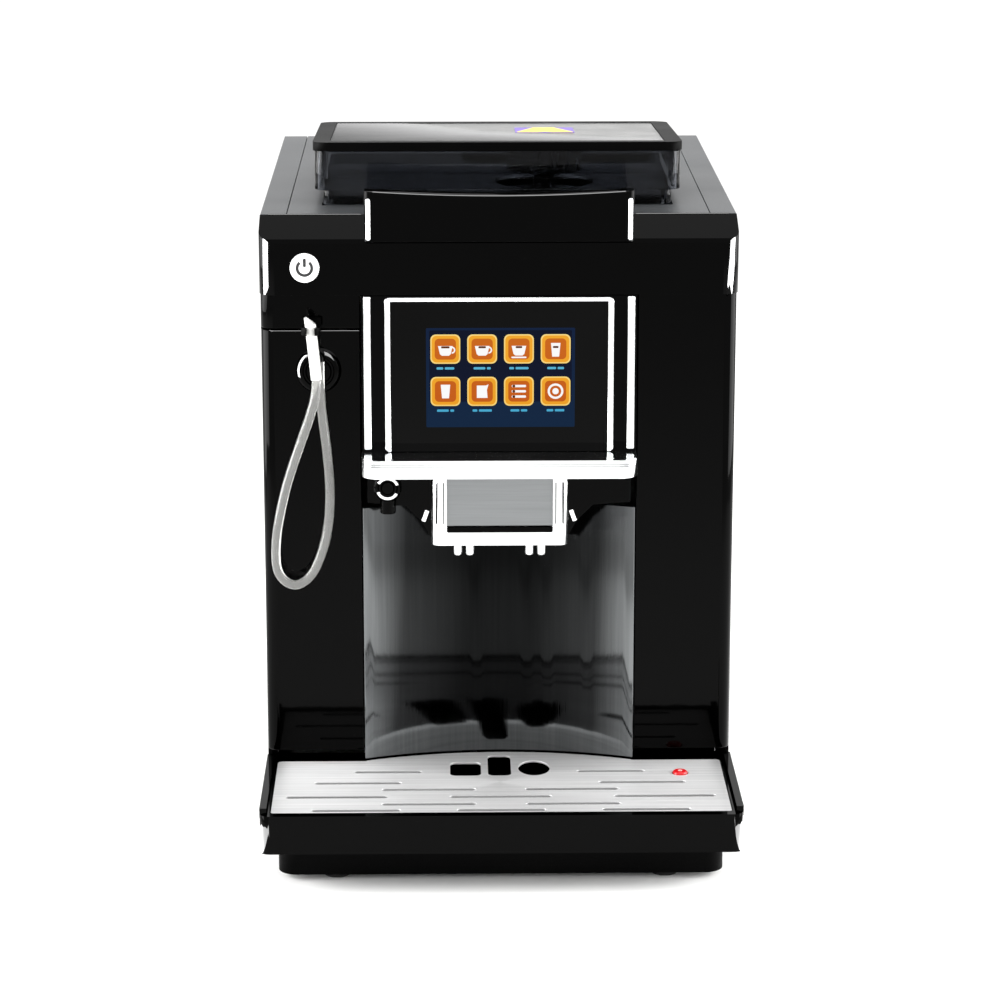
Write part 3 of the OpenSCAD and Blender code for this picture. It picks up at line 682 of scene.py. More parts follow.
class Shape:
    """Gathers the faces of one piece, in millimetres, and makes the object, in metres."""

    def __init__(self) -> None:
        """Starts with no faces."""
        self.mesh = bmesh.new()

    def skin(self, rings: Sequence[Sequence[Vector]], closed: bool = False) -> "Shape":
        """Joins rings of equal count into a surface, and fills both ends unless closed.

        Args:
            rings: rings of points, in order.
            closed: whether the last ring meets the first one again.

        Returns:
            This shape.
        """
        rows = [[self.mesh.verts.new(p) for p in ring] for ring in rings]
        pairs = list(zip(rows, rows[1:] + rows[:1])) if closed else list(zip(rows, rows[1:]))
        for low, high in pairs:
            for k in range(len(low)):
                j = (k + 1) % len(low)
                self.mesh.faces.new((low[k], low[j], high[j], high[k]))
        if not closed:
            self.mesh.faces.new(list(reversed(rows[0])))
            self.mesh.faces.new(rows[-1])
        return self

    def plate(
        self, outline: Outline, facing: Facing, origin: Point, depth: float
    ) -> "Shape":
        """Adds a flat outline with a depth; its front looks where facing says.

        Args:
            outline: its corners, in order.
            facing: the way its face looks.
            origin: where the outline is measured from.
            depth: how thick it is.

        Returns:
            This shape.
        """
        return self.skin(
            [[facing.at(origin, u, v, out) for u, v in outline] for out in (0.0, depth)]
        )

    def block(self, low: Point, high: Point) -> "Shape":
        """Adds a box from its lowest to its highest corner.

        Args:
            low: its lowest corner.
            high: its highest corner.

        Returns:
            This shape.
        """
        size = [h - l for l, h in zip(low, high)]
        square = [(0, 0), (size[0], 0), (size[0], size[1]), (0, size[1])]
        return self.plate(square, Facing.TOP, low, size[2])

    def turned(
        self, profile: Outline, facing: Facing, origin: Point, steps: int = 56
    ) -> "Shape":
        """Adds a turned shape about the depth axis.

        Args:
            profile: (radius, depth) pairs round a closed section; an end on the axis has
                a radius of 0.
            facing: which way the axis points.
            origin: where depth 0 is.
            steps: pieces round the axis.

        Returns:
            This shape.
        """
        angles = [2 * math.pi * k / steps for k in range(steps)]
        rings = [
            [facing.at(origin, r * math.cos(a), r * math.sin(a), out) for a in angles]
            for r, out in profile
            if r > 0
        ]
        return self.skin(rings, closed=all(r > 0 for r, _ in profile))

    def pipe(self, route: Sequence[Point], radius: float, steps: int = 24) -> "Shape":
        """Adds a round bar along a route, with flat ends.

        Args:
            route: the points of its middle line.
            radius: its radius.
            steps: sides of its cross-section.

        Returns:
            This shape.
        """
        points = [Vector(p) for p in route]
        rings = []
        start = (points[1] - points[0]).normalized()
        side = Vector((1, 0, 0)) if abs(start.y) > 0.9 else Vector((0, 1, 0))
        for i, point in enumerate(points):
            ahead = points[min(i + 1, len(points) - 1)] - points[max(i - 1, 0)]
            ahead.normalize()
            side = (side - ahead * side.dot(ahead)).normalized()
            over = ahead.cross(side)
            rings.append(
                [
                    point
                    + radius * math.cos(2 * math.pi * k / steps) * side
                    + radius * math.sin(2 * math.pi * k / steps) * over
                    for k in range(steps)
                ]
            )
        return self.skin(rings)

    def build(
        self,
        name: str,
        finish: Finish,
        body: str,
        replaces: Sequence[str] = (),
        edge: float = 0.0,
        crease: float = 35.0,
    ) -> bpy.types.Object:
        """Turns the faces into a piece that rides on a body.

        Args:
            name: the piece's name.
            finish: its finish.
            body: the body it moves with.
            replaces: CAD nodes that it stands for.
            edge: width of its rounded edges, 0 for none.
            crease: edges sharper than this, in degrees, stay sharp in the shading.

        Returns:
            The piece.
        """
        bmesh.ops.remove_doubles(self.mesh, verts=self.mesh.verts, dist=1e-4)
        bmesh.ops.recalc_face_normals(self.mesh, faces=self.mesh.faces)
        data = bpy.data.meshes.new(name)
        self.mesh.to_mesh(data)
        self.mesh.free()
        data.transform(Matrix.Scale(MM, 4))
        data.shade_smooth()
        data.set_sharp_from_angle(angle=math.radians(crease))
        piece = bpy.data.objects.new(name, data)
        bpy.context.scene.collection.objects.link(piece)
        data.materials.append(finish.material())
        if edge:
            round_edges(piece, edge)
        settle(piece, body, replaces)
        LOG.info("%s: %d faces", name, len(data.polygons))
        return piece


def round_edges(piece: bpy.types.Object, width: float, segments: int = 3) -> None:
    """Rounds the sharp edges of a piece by a modifier.

    Args:
        piece: the piece.
        width: width of the rounding in millimetres.
        segments: how many facets make the rounding.
    """
    bevel = piece.modifiers.new("edges", "BEVEL")
    bevel.width = width * MM
    bevel.segments = segments
    bevel.limit_method = "ANGLE"
    bevel.angle_limit = math.radians(32)
    bevel.harden_normals = True


def settle(
    piece: bpy.types.Object, body: str, replaces: Sequence[str] = ()
) -> None:
    """Gives a finished piece its body and the nodes it stands for.

    Args:
        piece: the finished piece.
        body: the body it rides on.
        replaces: the CAD nodes it stands for.
    """
    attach(piece, body)
    if replaces:
        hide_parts(*replaces)


def dress(frame: dict, node: str, finish: Finish, edge: float = 0.5) -> None:
    """Gives a CAD node its finish and rounds its sharp edges.

    Args:
        frame: the loaded frame.
        node: the node's name.
        finish: its finish.
        edge: width of its rounded edges in millimetres, 0 for none.
    """
    thing = frame["nodes"][node]
    thing.data.materials.clear()
    thing.data.materials.append(finish.material())
    if edge:
        weld = thing.modifiers.new("weld", "WELD")
        weld.merge_threshold = 0.01 * MM
        flat = thing.modifiers.new("flat", "DECIMATE")
        flat.decimate_type = "DISSOLVE"
        flat.angle_limit = math.radians(0.5)
        round_edges(thing, edge, 2)


# ------------------------------------------------------------------ geometry nodes


def open_tree(name: str, inputs: Sequence[tuple[str, str]]) -> tuple:
    """Starts a Geometry Nodes tree.

    Args:
        name: the tree's name.
        inputs: (name, socket type) of each input after the geometry.

    Returns:
        The tree, its input node and its output node.
    """
    tree = bpy.data.node_groups.new(name, "GeometryNodeTree")
    tree.interface.new_socket("Geometry", in_out="INPUT", socket_type="NodeSocketGeometry")
    for label, kind in inputs:
        tree.interface.new_socket(label, in_out="INPUT", socket_type=kind)
    tree.interface.new_socket("Geometry", in_out="OUTPUT", socket_type="NodeSocketGeometry")
    return tree, add_node(tree, "NodeGroupInput"), add_node(tree, "NodeGroupOutput")


def close_tree(
    tree: Tree,
    source: TreeNode,
    target: TreeNode,
    made: Socket,
) -> None:
    """Ends a tree in Realize Instances and Set Material.

    Args:
        tree: the tree that gets the nodes.
        source: the tree's input node.
        target: the tree's output node.
        made: the geometry to end with.
    """
    real = add_node(tree, "GeometryNodeRealizeInstances", links={0: made})
    coat = add_node(
        tree,
        "GeometryNodeSetMaterial",
        links={"Geometry": real.outputs[0], "Material": source.outputs["Finish"]},
    )
    tree.links.new(coat.outputs[0], target.inputs[0])


def rows_tree() -> Tree:
    """Returns the tree that sets a pattern piece out in rows and columns."""
    found = bpy.data.node_groups.get("rows_of_a_pattern")
    if found:
        return found
    tree, source, target = open_tree(
        "rows_of_a_pattern",
        [
            ("Pattern", "NodeSocketObject"),
            ("Columns", "NodeSocketInt"),
            ("Rows", "NodeSocketInt"),
            ("Width", "NodeSocketFloat"),
            ("Height", "NodeSocketFloat"),
            ("Middle", "NodeSocketVector"),
            ("Turn", "NodeSocketVector"),
            ("Finish", "NodeSocketMaterial"),
        ],
    )
    grid = add_node(
        tree,
        "GeometryNodeMeshGrid",
        links={
            "Size X": source.outputs["Width"],
            "Size Y": source.outputs["Height"],
            "Vertices X": source.outputs["Columns"],
            "Vertices Y": source.outputs["Rows"],
        },
    )
    placed = add_node(
        tree,
        "GeometryNodeTransform",
        links={
            "Geometry": grid.outputs[0],
            "Translation": source.outputs["Middle"],
            "Rotation": source.outputs["Turn"],
        },
    )
    pattern = add_node(
        tree, "GeometryNodeObjectInfo", links={"Object": source.outputs["Pattern"]}
    )
    copies = add_node(
        tree,
        "GeometryNodeInstanceOnPoints",
        links={"Points": placed.outputs[0], "Instance": pattern.outputs["Geometry"]},
    )
    close_tree(tree, source, target, copies.outputs[0])
    return tree


def tube_tree() -> Tree:
    """Returns the tree that runs a round tube along a line of edges."""
    tree, source, target = open_tree(
        "tube_along_a_line",
        [
            ("Radius", "NodeSocketFloat"),
            ("Sides", "NodeSocketInt"),
            ("Finish", "NodeSocketMaterial"),
        ],
    )
    line = add_node(tree, "GeometryNodeMeshToCurve", links={0: source.outputs["Geometry"]})
    round_section = add_node(
        tree,
        "GeometryNodeCurvePrimitiveCircle",
        links={"Resolution": source.outputs["Sides"], "Radius": source.outputs["Radius"]},
    )
    tube = add_node(
        tree,
        "GeometryNodeCurveToMesh",
        {"Fill Caps": True},
        {"Curve": line.outputs[0], "Profile Curve": round_section.outputs[0]},
    )
    close_tree(tree, source, target, tube.outputs[0])
    return tree


def grow(
    name: str,
    start: bpy.types.Mesh | None,
    tree: Tree,
    values: dict[str, Any],
    finish: Finish,
    crease: float = 35.0,
) -> bpy.types.Object:
    """Runs a Geometry Nodes tree once and keeps its result as a plain mesh.

    Args:
        name: the new piece's name.
        start: the mesh that the tree starts from, or None.
        tree: the tree.
        values: the tree's inputs by name.
        finish: the piece's finish.
        crease: edges sharper than this, in degrees, stay sharp in the shading.

    Returns:
        The piece, not yet riding on a body.
    """
    seed = bpy.data.objects.new(f"{name}_seed", start or bpy.data.meshes.new(f"{name}_seed"))
    bpy.context.scene.collection.objects.link(seed)
    modifier = seed.modifiers.new("grow", "NODES")
    modifier.node_group = tree
    known = {**values, "Finish": finish.material()}
    for item in tree.interface.items_tree:
        if item.in_out == "INPUT" and item.name in known:
            modifier[item.identifier] = known[item.name]
    depsgraph = bpy.context.evaluated_depsgraph_get()
    data = bpy.data.meshes.new_from_object(seed.evaluated_get(depsgraph))
    data.name = name
    data.shade_smooth()
    data.set_sharp_from_angle(angle=math.radians(crease))
    piece = bpy.data.objects.new(name, data)
    bpy.context.scene.collection.objects.link(piece)
    bpy.data.objects.remove(seed)
    LOG.info("%s: %d faces", name, len(data.polygons))
    return piece


def pattern_piece(shape: Shape, finish: Finish) -> bpy.types.Object:
    """Makes a pattern for a tree to repeat; forget it with drop() when that is done.

    Args:
        shape: the shape to repeat; its mesh is used up.
        finish: its finish.

    Returns:
        The pattern piece.
    """
    bmesh.ops.remove_doubles(shape.mesh, verts=shape.mesh.verts, dist=1e-4)
    bmesh.ops.recalc_face_normals(shape.mesh, faces=shape.mesh.faces)
    data = bpy.data.meshes.new("pattern")
    shape.mesh.to_mesh(data)
    shape.mesh.free()
    data.transform(Matrix.Scale(MM, 4))
    data.materials.append(finish.material())
    piece = bpy.data.objects.new("pattern", data)
    bpy.context.scene.collection.objects.link(piece)
    return piece


def drop(piece: bpy.types.Object) -> None:
    """Removes a pattern piece."""
    bpy.data.objects.remove(piece)


# ------------------------------------------------------------------ studio


@dataclass(frozen=True)
class Softbox:
    """A soft lamp: where it stands, what it looks at, its size in metres and its light."""

    name: str
    place: Point
    target: Point
    size: tuple[float, float]
    watts: float
    spread: float = 180.0
    only: tuple[str, ...] = ()
    through_walls: bool = False

    def light(self) -> None:
        """Puts the lamp in the scene, for the pieces that it names or for all."""
        data = bpy.data.lights.new(self.name, "AREA")
        data.shape = "RECTANGLE"
        data.size, data.size_y = self.size
        data.energy = self.watts
        data.spread = math.radians(self.spread)
        lamp = bpy.data.objects.new(self.name, data)
        lamp.location = self.place
        aim = Vector(self.target) - Vector(self.place)
        lamp.rotation_euler = aim.to_track_quat("-Z", "Y").to_euler()
        lamp.visible_camera = False
        bpy.context.scene.collection.objects.link(lamp)
        if self.only:
            lit = bpy.data.collections.new(f"{self.name}_lights")
            for name in self.only:
                lit.objects.link(bpy.data.objects[name])
            lamp.light_linking.receiver_collection = lit
        if self.through_walls:
            nothing = bpy.data.collections.new(f"{self.name}_is_stopped_by")
            lamp.light_linking.blocker_collection = nothing


@dataclass
class Studio:
    """The camera, the floor and the lamps. Metres and degrees."""

    lens_mm: float = 122.4
    eye: Point = (-0.0346, -2.2419, 0.7607)
    down: float = 14.19
    aside: float = 0.956
    floor_half: float = 30.0
    # Where the scrim that paints the back plate's dark reflection stands: half width, low, high,
    # depth.
    niche: tuple[float, float, float, float] = (0.0875, 0.0525, 0.235, -0.1335)
    lamps: tuple[Softbox, ...] = (
        Softbox("left_softbox", (-1.5, -0.15, 0.62), (0, -0.05, 0.28), (1.5, 1.1), 22, 110),
        Softbox("right_softbox", (1.5, -0.15, 0.62), (0, -0.05, 0.28), (1.5, 1.1), 22, 110),
        Softbox("top_softbox", (0, -0.1, 1.9), (0, -0.05, 0.2), (1.4, 0.9), 10, 150),
        Softbox("left_edge_lamp", (-0.7, -0.4, 0.45), (0, -0.1, 0.45), (0.5, 0.9), 600,
                only=("front_band", "milk_port_cap", "water_outlet_cap")),
        Softbox("right_edge_lamp", (0.7, -0.4, 0.45), (0, -0.1, 0.45), (0.5, 0.9), 600,
                only=("front_band",)),
        Softbox("upper_edge_lamp", (0, -0.75, 1.1), (0, -0.14, 0.4), (1.5, 1.3), 650,
                only=("hood_edge", "band_crest", "left_front_panel", "milk_port_cap")),
        Softbox("left_floor_lamp", (-0.3, -0.33, 0.003), (-0.3, -0.33, 1), (0.24, 0.34), 36,
                only=("drip_tray",)),
        Softbox("right_floor_lamp", (0.3, -0.33, 0.003), (0.3, -0.33, 1), (0.24, 0.34), 36,
                only=("drip_tray",)),
        Softbox("knob_lamp", (0.03, -0.5, 0.75), (0.032, 0.004, 0.42), (0.3, 0.3), 60,
                only=("grinder_knob",), through_walls=True),
    )

    def camera(self) -> None:
        """Makes the camera."""
        data = bpy.data.cameras.new("camera")
        data.lens = self.lens_mm
        data.sensor_width = 36
        data.clip_start, data.clip_end = 0.05, 100
        eye = bpy.data.objects.new("camera", data)
        eye.location = self.eye
        eye.rotation_euler = (math.radians(90 - self.down), 0, math.radians(-self.aside))
        bpy.context.scene.collection.objects.link(eye)
        bpy.context.scene.camera = eye

    def floor(self) -> None:
        """Makes the plain pale floor."""
        paper = Coated("pale_paper_floor", "silver_abs", "#f2f2f1", 0.9, specular=0.1,
                       tint="#f6f6f5", peel_mm=30, depth_mm=0.02)
        data = bpy.data.meshes.new("floor")
        h = self.floor_half
        data.from_pydata([(-h, -h, 0), (h, -h, 0), (h, h, 0), (-h, h, 0)], [], [(0, 1, 2, 3)])
        data.materials.append(paper.material())
        floor = bpy.data.objects.new("floor", data)
        bpy.context.scene.collection.objects.link(floor)

    def scrim(self) -> None:
        """Stands a dark scrim in the cup niche, which only shows in the gloss behind it: it
        paints a dark reflection into the back plate.

        It is dense in the middle and clears towards both sides, so the painted reflection is
        darkest in the middle.
        """
        half, low, high, depth = self.niche
        material = bpy.data.materials.new("painted_dark_reflection")
        material.use_nodes = True
        tree = material.node_tree
        tree.nodes.clear()
        place = add_node(tree, "ShaderNodeTexCoord").outputs["Object"]
        across = add_node(tree, "ShaderNodeSeparateXYZ", links={0: place}).outputs["X"]
        side = add_node(tree, "ShaderNodeMath", {"operation": "ABSOLUTE"}, {0: across})
        share = add_node(
            tree, "ShaderNodeMapRange", {"From Max": half}, {"Value": side.outputs[0]}
        )
        # The ramp makes the painted reflection darkest in the middle and clear at the sides.
        ramp = add_node(
            tree,
            "ShaderNodeValToRGB",
            {"stops": [(0.2, "#383838"), (0.62, "#676767"), (0.95, "#ffffff")]},
            {"Fac": share.outputs["Result"]},
        )
        veil = add_node(
            tree, "ShaderNodeBsdfTransparent", links={"Color": ramp.outputs["Color"]}
        )
        add_node(tree, "ShaderNodeOutputMaterial", links={"Surface": veil.outputs[0]})
        data = bpy.data.meshes.new("niche_scrim")
        corners = [(-half, depth, low), (half, depth, low), (half, depth, high)]
        data.from_pydata([*corners, (-half, depth, high)], [], [(0, 1, 2, 3)])
        data.materials.append(material)
        scrim = bpy.data.objects.new("niche_scrim", data)
        scrim.visible_camera = False
        scrim.visible_diffuse = False
        scrim.visible_shadow = False
        scrim.visible_transmission = False
        bpy.context.scene.collection.objects.link(scrim)

    def light(self) -> None:
        """Makes the soft surrounding light and the lamps."""
        world = bpy.data.worlds.new("studio")
        world.use_nodes = True
        back = world.node_tree.nodes["Background"]
        back.inputs["Color"].default_value = linear("#fbfbfb")
        back.inputs["Strength"].default_value = 1.25
        bpy.context.scene.world = world
        for lamp in self.lamps:
            lamp.light()
        bpy.context.scene.view_settings.view_transform = "Standard"


# ------------------------------------------------------------------ the machine


@dataclass
class MilkHose:
    """The silicone milk tube, from its elbow under the port to the stiff suction pipe."""

    diameter: float = 5.8
    sides: int = 28
    route: tuple[Point, ...] = (
        (-113.5, -137, 319), (-113.5, -137, 309), (-113.2, -137, 299), (-112.6, -137, 288),
        (-111.3, -137, 276), (-109.6, -137, 261), (-108.3, -137, 245), (-108.0, -137, 229),
        (-109.2, -137.2, 213), (-111.8, -137.6, 200), (-115.6, -138.2, 189),
        (-119.6, -138.8, 181), (-125.0, -139.2, 175.5), (-131.0, -139.5, 173.4),
        (-137.0, -139.8, 175.9), (-141.2, -140, 181.8), (-142.8, -140, 190.5),
        (-142.2, -140, 205), (-139.6, -140, 221), (-135.6, -140, 238), (-130.6, -140.6, 254),
        (-125.0, -141.8, 270), (-119.8, -143.2, 285), (-116.4, -144.2, 297),
        (-115.2, -144.5, 309),
    )

    def build(self, frame: dict) -> None:
        """Args:
            frame: the loaded frame.
        """
        line = smooth_route(self.route, 6)
        start = bpy.data.meshes.new("milk_line")
        points = [p * MM for p in line]
        start.from_pydata(points, [(i, i + 1) for i in range(len(points) - 1)], [])
        sizes = {"Radius": self.diameter / 2 * MM, "Sides": self.sides}
        tube = grow("milk_tube_clear", start, tube_tree(), sizes, SILICONE, 60)
        settle(tube, "chassis", ["milk_tube"])
        dress(frame, "suction_tip", SUCTION_PIPE, 0.25)
        dress(frame, "tube_clip", SATIN_BLACK, 0.3)


@dataclass
class Casing:
    """The base, the sides, the deck and the rear, with the screws that hold them."""

    screw_x: float = 138.0
    screw_rows: tuple[float, ...] = (50.0, 215.0, 390.0)
    louvre_x: float = 62.0
    louvre_low: float = 240.0
    louvre_pitch: float = 14.0
    louvre_count: int = 10

    def build(self, frame: dict) -> None:
        """Dresses the casing and adds its screws and louvre lips.

        Args:
            frame: the loaded frame.
        """
        for node in ("base_pan", "left_side_panel", "right_side_panel", "service_door"):
            dress(frame, node, SATIN_BLACK, 0.6)
        for node in ("side_rails", "top_cover"):
            dress(frame, node, SILVER_PAINT, 0.5)
        dress(frame, "rear_panel", REAR_COAT, 0.3)
        dress(frame, "feet", RUBBER, 0.8)
        dress(frame, "grounds_drawer", SATIN_BLACK, 0.6)
        dress(frame, "inner_frame", GALVANISED, 0.0)
        dress(frame, "control_board", BOARD, 0.0)
        dress(frame, "panel_screws", SCREW_ZINC, 0.0)
        self.screw_heads()
        self.louvre_lips()

    def screw_heads(self) -> None:
        """Puts a domed cross-recess head on each rear screw."""
        low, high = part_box("panel_screws")
        rear = high.y / MM
        head = Shape()
        head.turned(
            [(0, 0.1), (1.2, 0.05), (2.2, -0.15), (3.05, -0.65), (3.05, -1.2), (0, -1.2)],
            Facing.BACK, (0, 0, 0), 32,
        )
        for turn in (0, 90):
            bar = rounded(0.7, 3.0, 0.3) if turn else rounded(3.0, 0.7, 0.3)
            head.plate(bar, Facing.BACK, (0, 0.02, 0), -0.3)
        pattern = pattern_piece(head, SCREW_ZINC)
        for row, height in enumerate(self.screw_rows):
            heads = grow(
                f"rear_screw_heads_{row + 1}", None, rows_tree(),
                {
                    "Pattern": pattern, "Columns": 2, "Rows": 1,
                    "Width": 2 * self.screw_x * MM, "Height": 0.0,
                    "Middle": (0, (rear - 0.12) * MM, height * MM), "Turn": (0, 0, 0),
                },
                SCREW_ZINC,
            )
            settle(heads, "chassis")
        drop(pattern)

    def louvre_lips(self) -> None:
        """Puts a pressed lip over each louvre of the rear panel."""
        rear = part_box("rear_panel")[1].y / MM
        lip = Shape().pipe([(-34, 0, 0), (-33, 0.3, 0), (33, 0.3, 0), (34, 0, 0)], 0.8, 12)
        pattern = pattern_piece(lip, REAR_COAT)
        span = self.louvre_pitch * (self.louvre_count - 1)
        lips = grow(
            "rear_louvre_lips", None, rows_tree(),
            {
                "Pattern": pattern, "Columns": 2, "Rows": self.louvre_count,
                "Width": 2 * self.louvre_x * MM, "Height": span * MM,
                "Middle": (0, (rear - 0.2) * MM, (self.louvre_low + span / 2 + 3.2) * MM),
                "Turn": (math.radians(90), 0, 0),
            },
            REAR_COAT,
        )
        settle(lips, "chassis")
        drop(pattern)


@dataclass
class FrontBand:
    """The band over the front, its hood, its chrome strips and its power key."""

    key: tuple[float, float] = (-122.0, 379.6)
    ring_outer: float = 5.5
    ring_inner: float = 3.7
    bar_width: float = 1.9
    bar_length: float = 5.4
    bar_rise: float = 3.4
    sign_proud: float = 0.12
    edge_half: float = 79.0
    edge_steps: int = 16
    edge_sag: float = 1177.0
    edge_low: float = 424.7
    edge_r: float = 0.8
    crest: tuple[float, float] = (-112.0, 408.7)
    crest_x: tuple[float, float] = (87.0, 146.0)
    crest_r: float = 0.5

    def build(self, frame: dict) -> None:
        """Dresses the band and draws the standby sign on the key.

        Args:
            frame: the loaded frame.
        """
        dress(frame, "front_band", PIANO_BLACK, 0.5)
        dress(frame, "hood", PIANO_BLACK, 0.6)
        self.hood_edge()
        dress(frame, "chrome_strips", CHROME, 0.5)
        dress(frame, "power_button", KEY_CAP, 0.9)
        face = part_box("power_button")[0].y / MM
        x, z = self.key
        sign = Shape()
        ring = arc_band(self.ring_inner, self.ring_outer, 130, 410, 40)
        sign.plate(ring, Facing.FRONT, (x, face, z), self.sign_proud)
        bar = moved(rounded(self.bar_width, self.bar_length, 0.8), 0, self.bar_rise)
        sign.plate(bar, Facing.FRONT, (x, face, z), self.sign_proud)
        sign.build("standby_sign", KEY_INK, "power_key")

    def hood_edge(self) -> None:
        """Lays the rolled edges: along the hood's sagging front, and where band meets deck."""
        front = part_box("hood")[0].y / MM + self.edge_r
        route = []
        for step in range(2 * self.edge_steps + 1):
            x = self.edge_half * (step / self.edge_steps - 1)
            rise = self.edge_sag - math.sqrt(self.edge_sag**2 - x**2)
            route.append((x, front, self.edge_low + rise))
        Shape().pipe(route, self.edge_r, 16).build("hood_edge", PIANO_BLACK, "chassis")
        crest = Shape()
        y, z = self.crest
        near, far = self.crest_x
        for side in (-1, 1):
            crest.pipe([(side * near, y, z), (side * far, y, z)], self.crest_r, 16)
        crest.build("band_crest", PIANO_BLACK, "chassis")


@dataclass
class Screen:
    """The display: housing, chrome frame, touch glass and the lit picture."""

    middle: tuple[float, float] = (0.8, 309.0)
    size: tuple[float, float] = (94.0, 64.0)
    tile: float = 18.8
    pitch: tuple[float, float] = (23.2, 27.3)
    rows: tuple[float, float] = (327.5, 300.2)
    caption_drop: float = 12.4
    layer: float = 0.07

    def build(self, frame: dict) -> None:
        """Dresses the housing and builds the picture in thin layers.

        Args:
            frame: the loaded frame.
        """
        dress(frame, "display_housing", PIANO_BLACK, 0.6)
        dress(frame, "display_bezel", CHROME, 0.6)
        dress(frame, "display_glass", TOUCH_GLASS, 0.3)
        dress(frame, "display_panel", DISPLAY_CASE, 0.4)
        self.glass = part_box("display_glass")[0].y / MM
        ground = rounded(*self.size, 0.8)
        self.flat(ground, *self.middle, 1).build("screen_ground", SCREEN_BLUE, "chassis")
        field_height = 46.0
        field = rounded(self.size[0] - 4, field_height, 0.8)
        top = self.middle[1] + self.size[1] / 2 - field_height / 2 - 1.5
        self.flat(field, self.middle[0], top, 2).build("screen_field", SCREEN_DARK, "chassis")
        self.tiles("screen_tile_edges", self.tile, 3.4, 3, TILE_EDGE)
        self.tiles("screen_tiles", self.tile - 1.6, 3.0, 4, TILE_GOLD)
        self.tiles("screen_tile_fields", self.tile - 5.4, 2.6, 5, TILE_AMBER)
        self.captions()
        self.marks()

    def flat(self, outline: Outline, x: float, z: float, level: int, shape: Shape | None = None
             ) -> Shape:
        """Adds a thin layer of the picture; a higher level lies further forward."""
        back = self.glass - (level - 1) * self.layer
        return (shape or Shape()).plate(outline, Facing.FRONT, (x, back, z), self.layer)

    def column_x(self, column: int) -> float:
        """Returns the middle of a column of tiles."""
        return self.middle[0] + (column - 1.5) * self.pitch[0]

    def tiles(self, name: str, size: float, radius: float, level: int, finish: Finish) -> None:
        """Sets out four by two rounded tiles.

        Args:
            name: name of the new piece.
            size: side of a tile.
            radius: its radius.
            level: how many layers lie below it.
            finish: its finish.
        """
        tile = Shape().plate(rounded(size, size, radius), Facing.FRONT, (0, 0, 0), self.layer)
        pattern = pattern_piece(tile, finish)
        rows = grow(
            name, None, rows_tree(),
            {
                "Pattern": pattern, "Columns": 4, "Rows": 2,
                "Width": 3 * self.pitch[0] * MM, "Height": self.pitch[1] * MM,
                "Middle": (
                    self.middle[0] * MM,
                    (self.glass - (level - 1) * self.layer) * MM,
                    sum(self.rows) / 2 * MM,
                ),
                "Turn": (math.radians(90), 0, 0),
            },
            finish,
        )
        settle(rows, "chassis")
        drop(pattern)

    def captions(self) -> None:
        """Draws a broken dash under each tile in place of a caption."""
        dashes = Shape()
        lengths = ((4.2, 6.0), (7.4, 2.4), (3.0, 8.2), (5.6, 4.0))
        for row, z in enumerate(self.rows):
            for column in range(4):
                first, second = lengths[(column + row) % 4]
                left = self.column_x(column) - (first + second + 1) / 2
                for start, run in ((left, first), (left + first + 1, second)):
                    outline = rounded(run, 1.5, 0.5, 3)
                    x, low = start + run / 2, z - self.caption_drop
                    self.flat(outline, x, low, 3, dashes)
        dashes.build("screen_captions", CAPTION_CYAN, "chassis")

    def marks(self) -> None:
        """Draws a plain sign for a drink on each tile."""
        white, brown = Shape(), Shape()
        wide = [(-4.6, 2.6), (4.6, 2.6), (3.4, -2.6), (2.2, -3.6), (-2.2, -3.6), (-3.4, -2.6)]
        tall = [(-3.0, 4.4), (3.0, 4.4), (2.2, -4.4), (-2.2, -4.4)]
        jug = [(-3.4, 3.8), (2.4, 3.8), (4.0, 4.6), (3.0, 1.0), (3.4, -4.2), (-3.4, -4.2)]
        top, low = self.rows
        for column, outline in enumerate((wide, wide, wide, tall)):
            x = self.column_x(column)
            self.flat(list(reversed(outline)), x, top - 0.6, 6, white)
            cover = rounded(5.4 - column * 0.6, 1.3, 0.6)
            self.flat(cover, x, top + 1.2, 7, brown)
        self.flat(arc_band(1.4, 2.3, -90, 90, 12), self.column_x(0) + 4, top - 0.6, 6, white)
        self.flat(arc_band(1.4, 2.3, -90, 90, 12), self.column_x(1) + 4, top - 0.6, 6, white)
        self.flat(rounded(9.5, 1.0, 0.45), self.column_x(2), top - 5.4, 6, white)
        self.flat(list(reversed(tall)), self.column_x(0), low, 6, white)
        self.flat(list(reversed(jug)), self.column_x(1), low, 6, white)
        for step in (-3.4, 0.0, 3.4):
            self.flat(rounded(9.0, 1.5, 0.6), self.column_x(2), low + step, 6, white)
            self.flat(rounded(1.8, 1.5, 0.6), self.column_x(2) - 3.2, low + step, 7, brown)
        self.flat(arc_band(3.6, 5.0, 0, 359, 32), self.column_x(3), low, 6, white)
        self.flat(rounded(4.0, 4.0, 1.9), self.column_x(3), low, 6, white)
        white.build("screen_signs", MARK_WHITE, "chassis")
        brown.build("screen_sign_fillings", MARK_BROWN, "chassis")


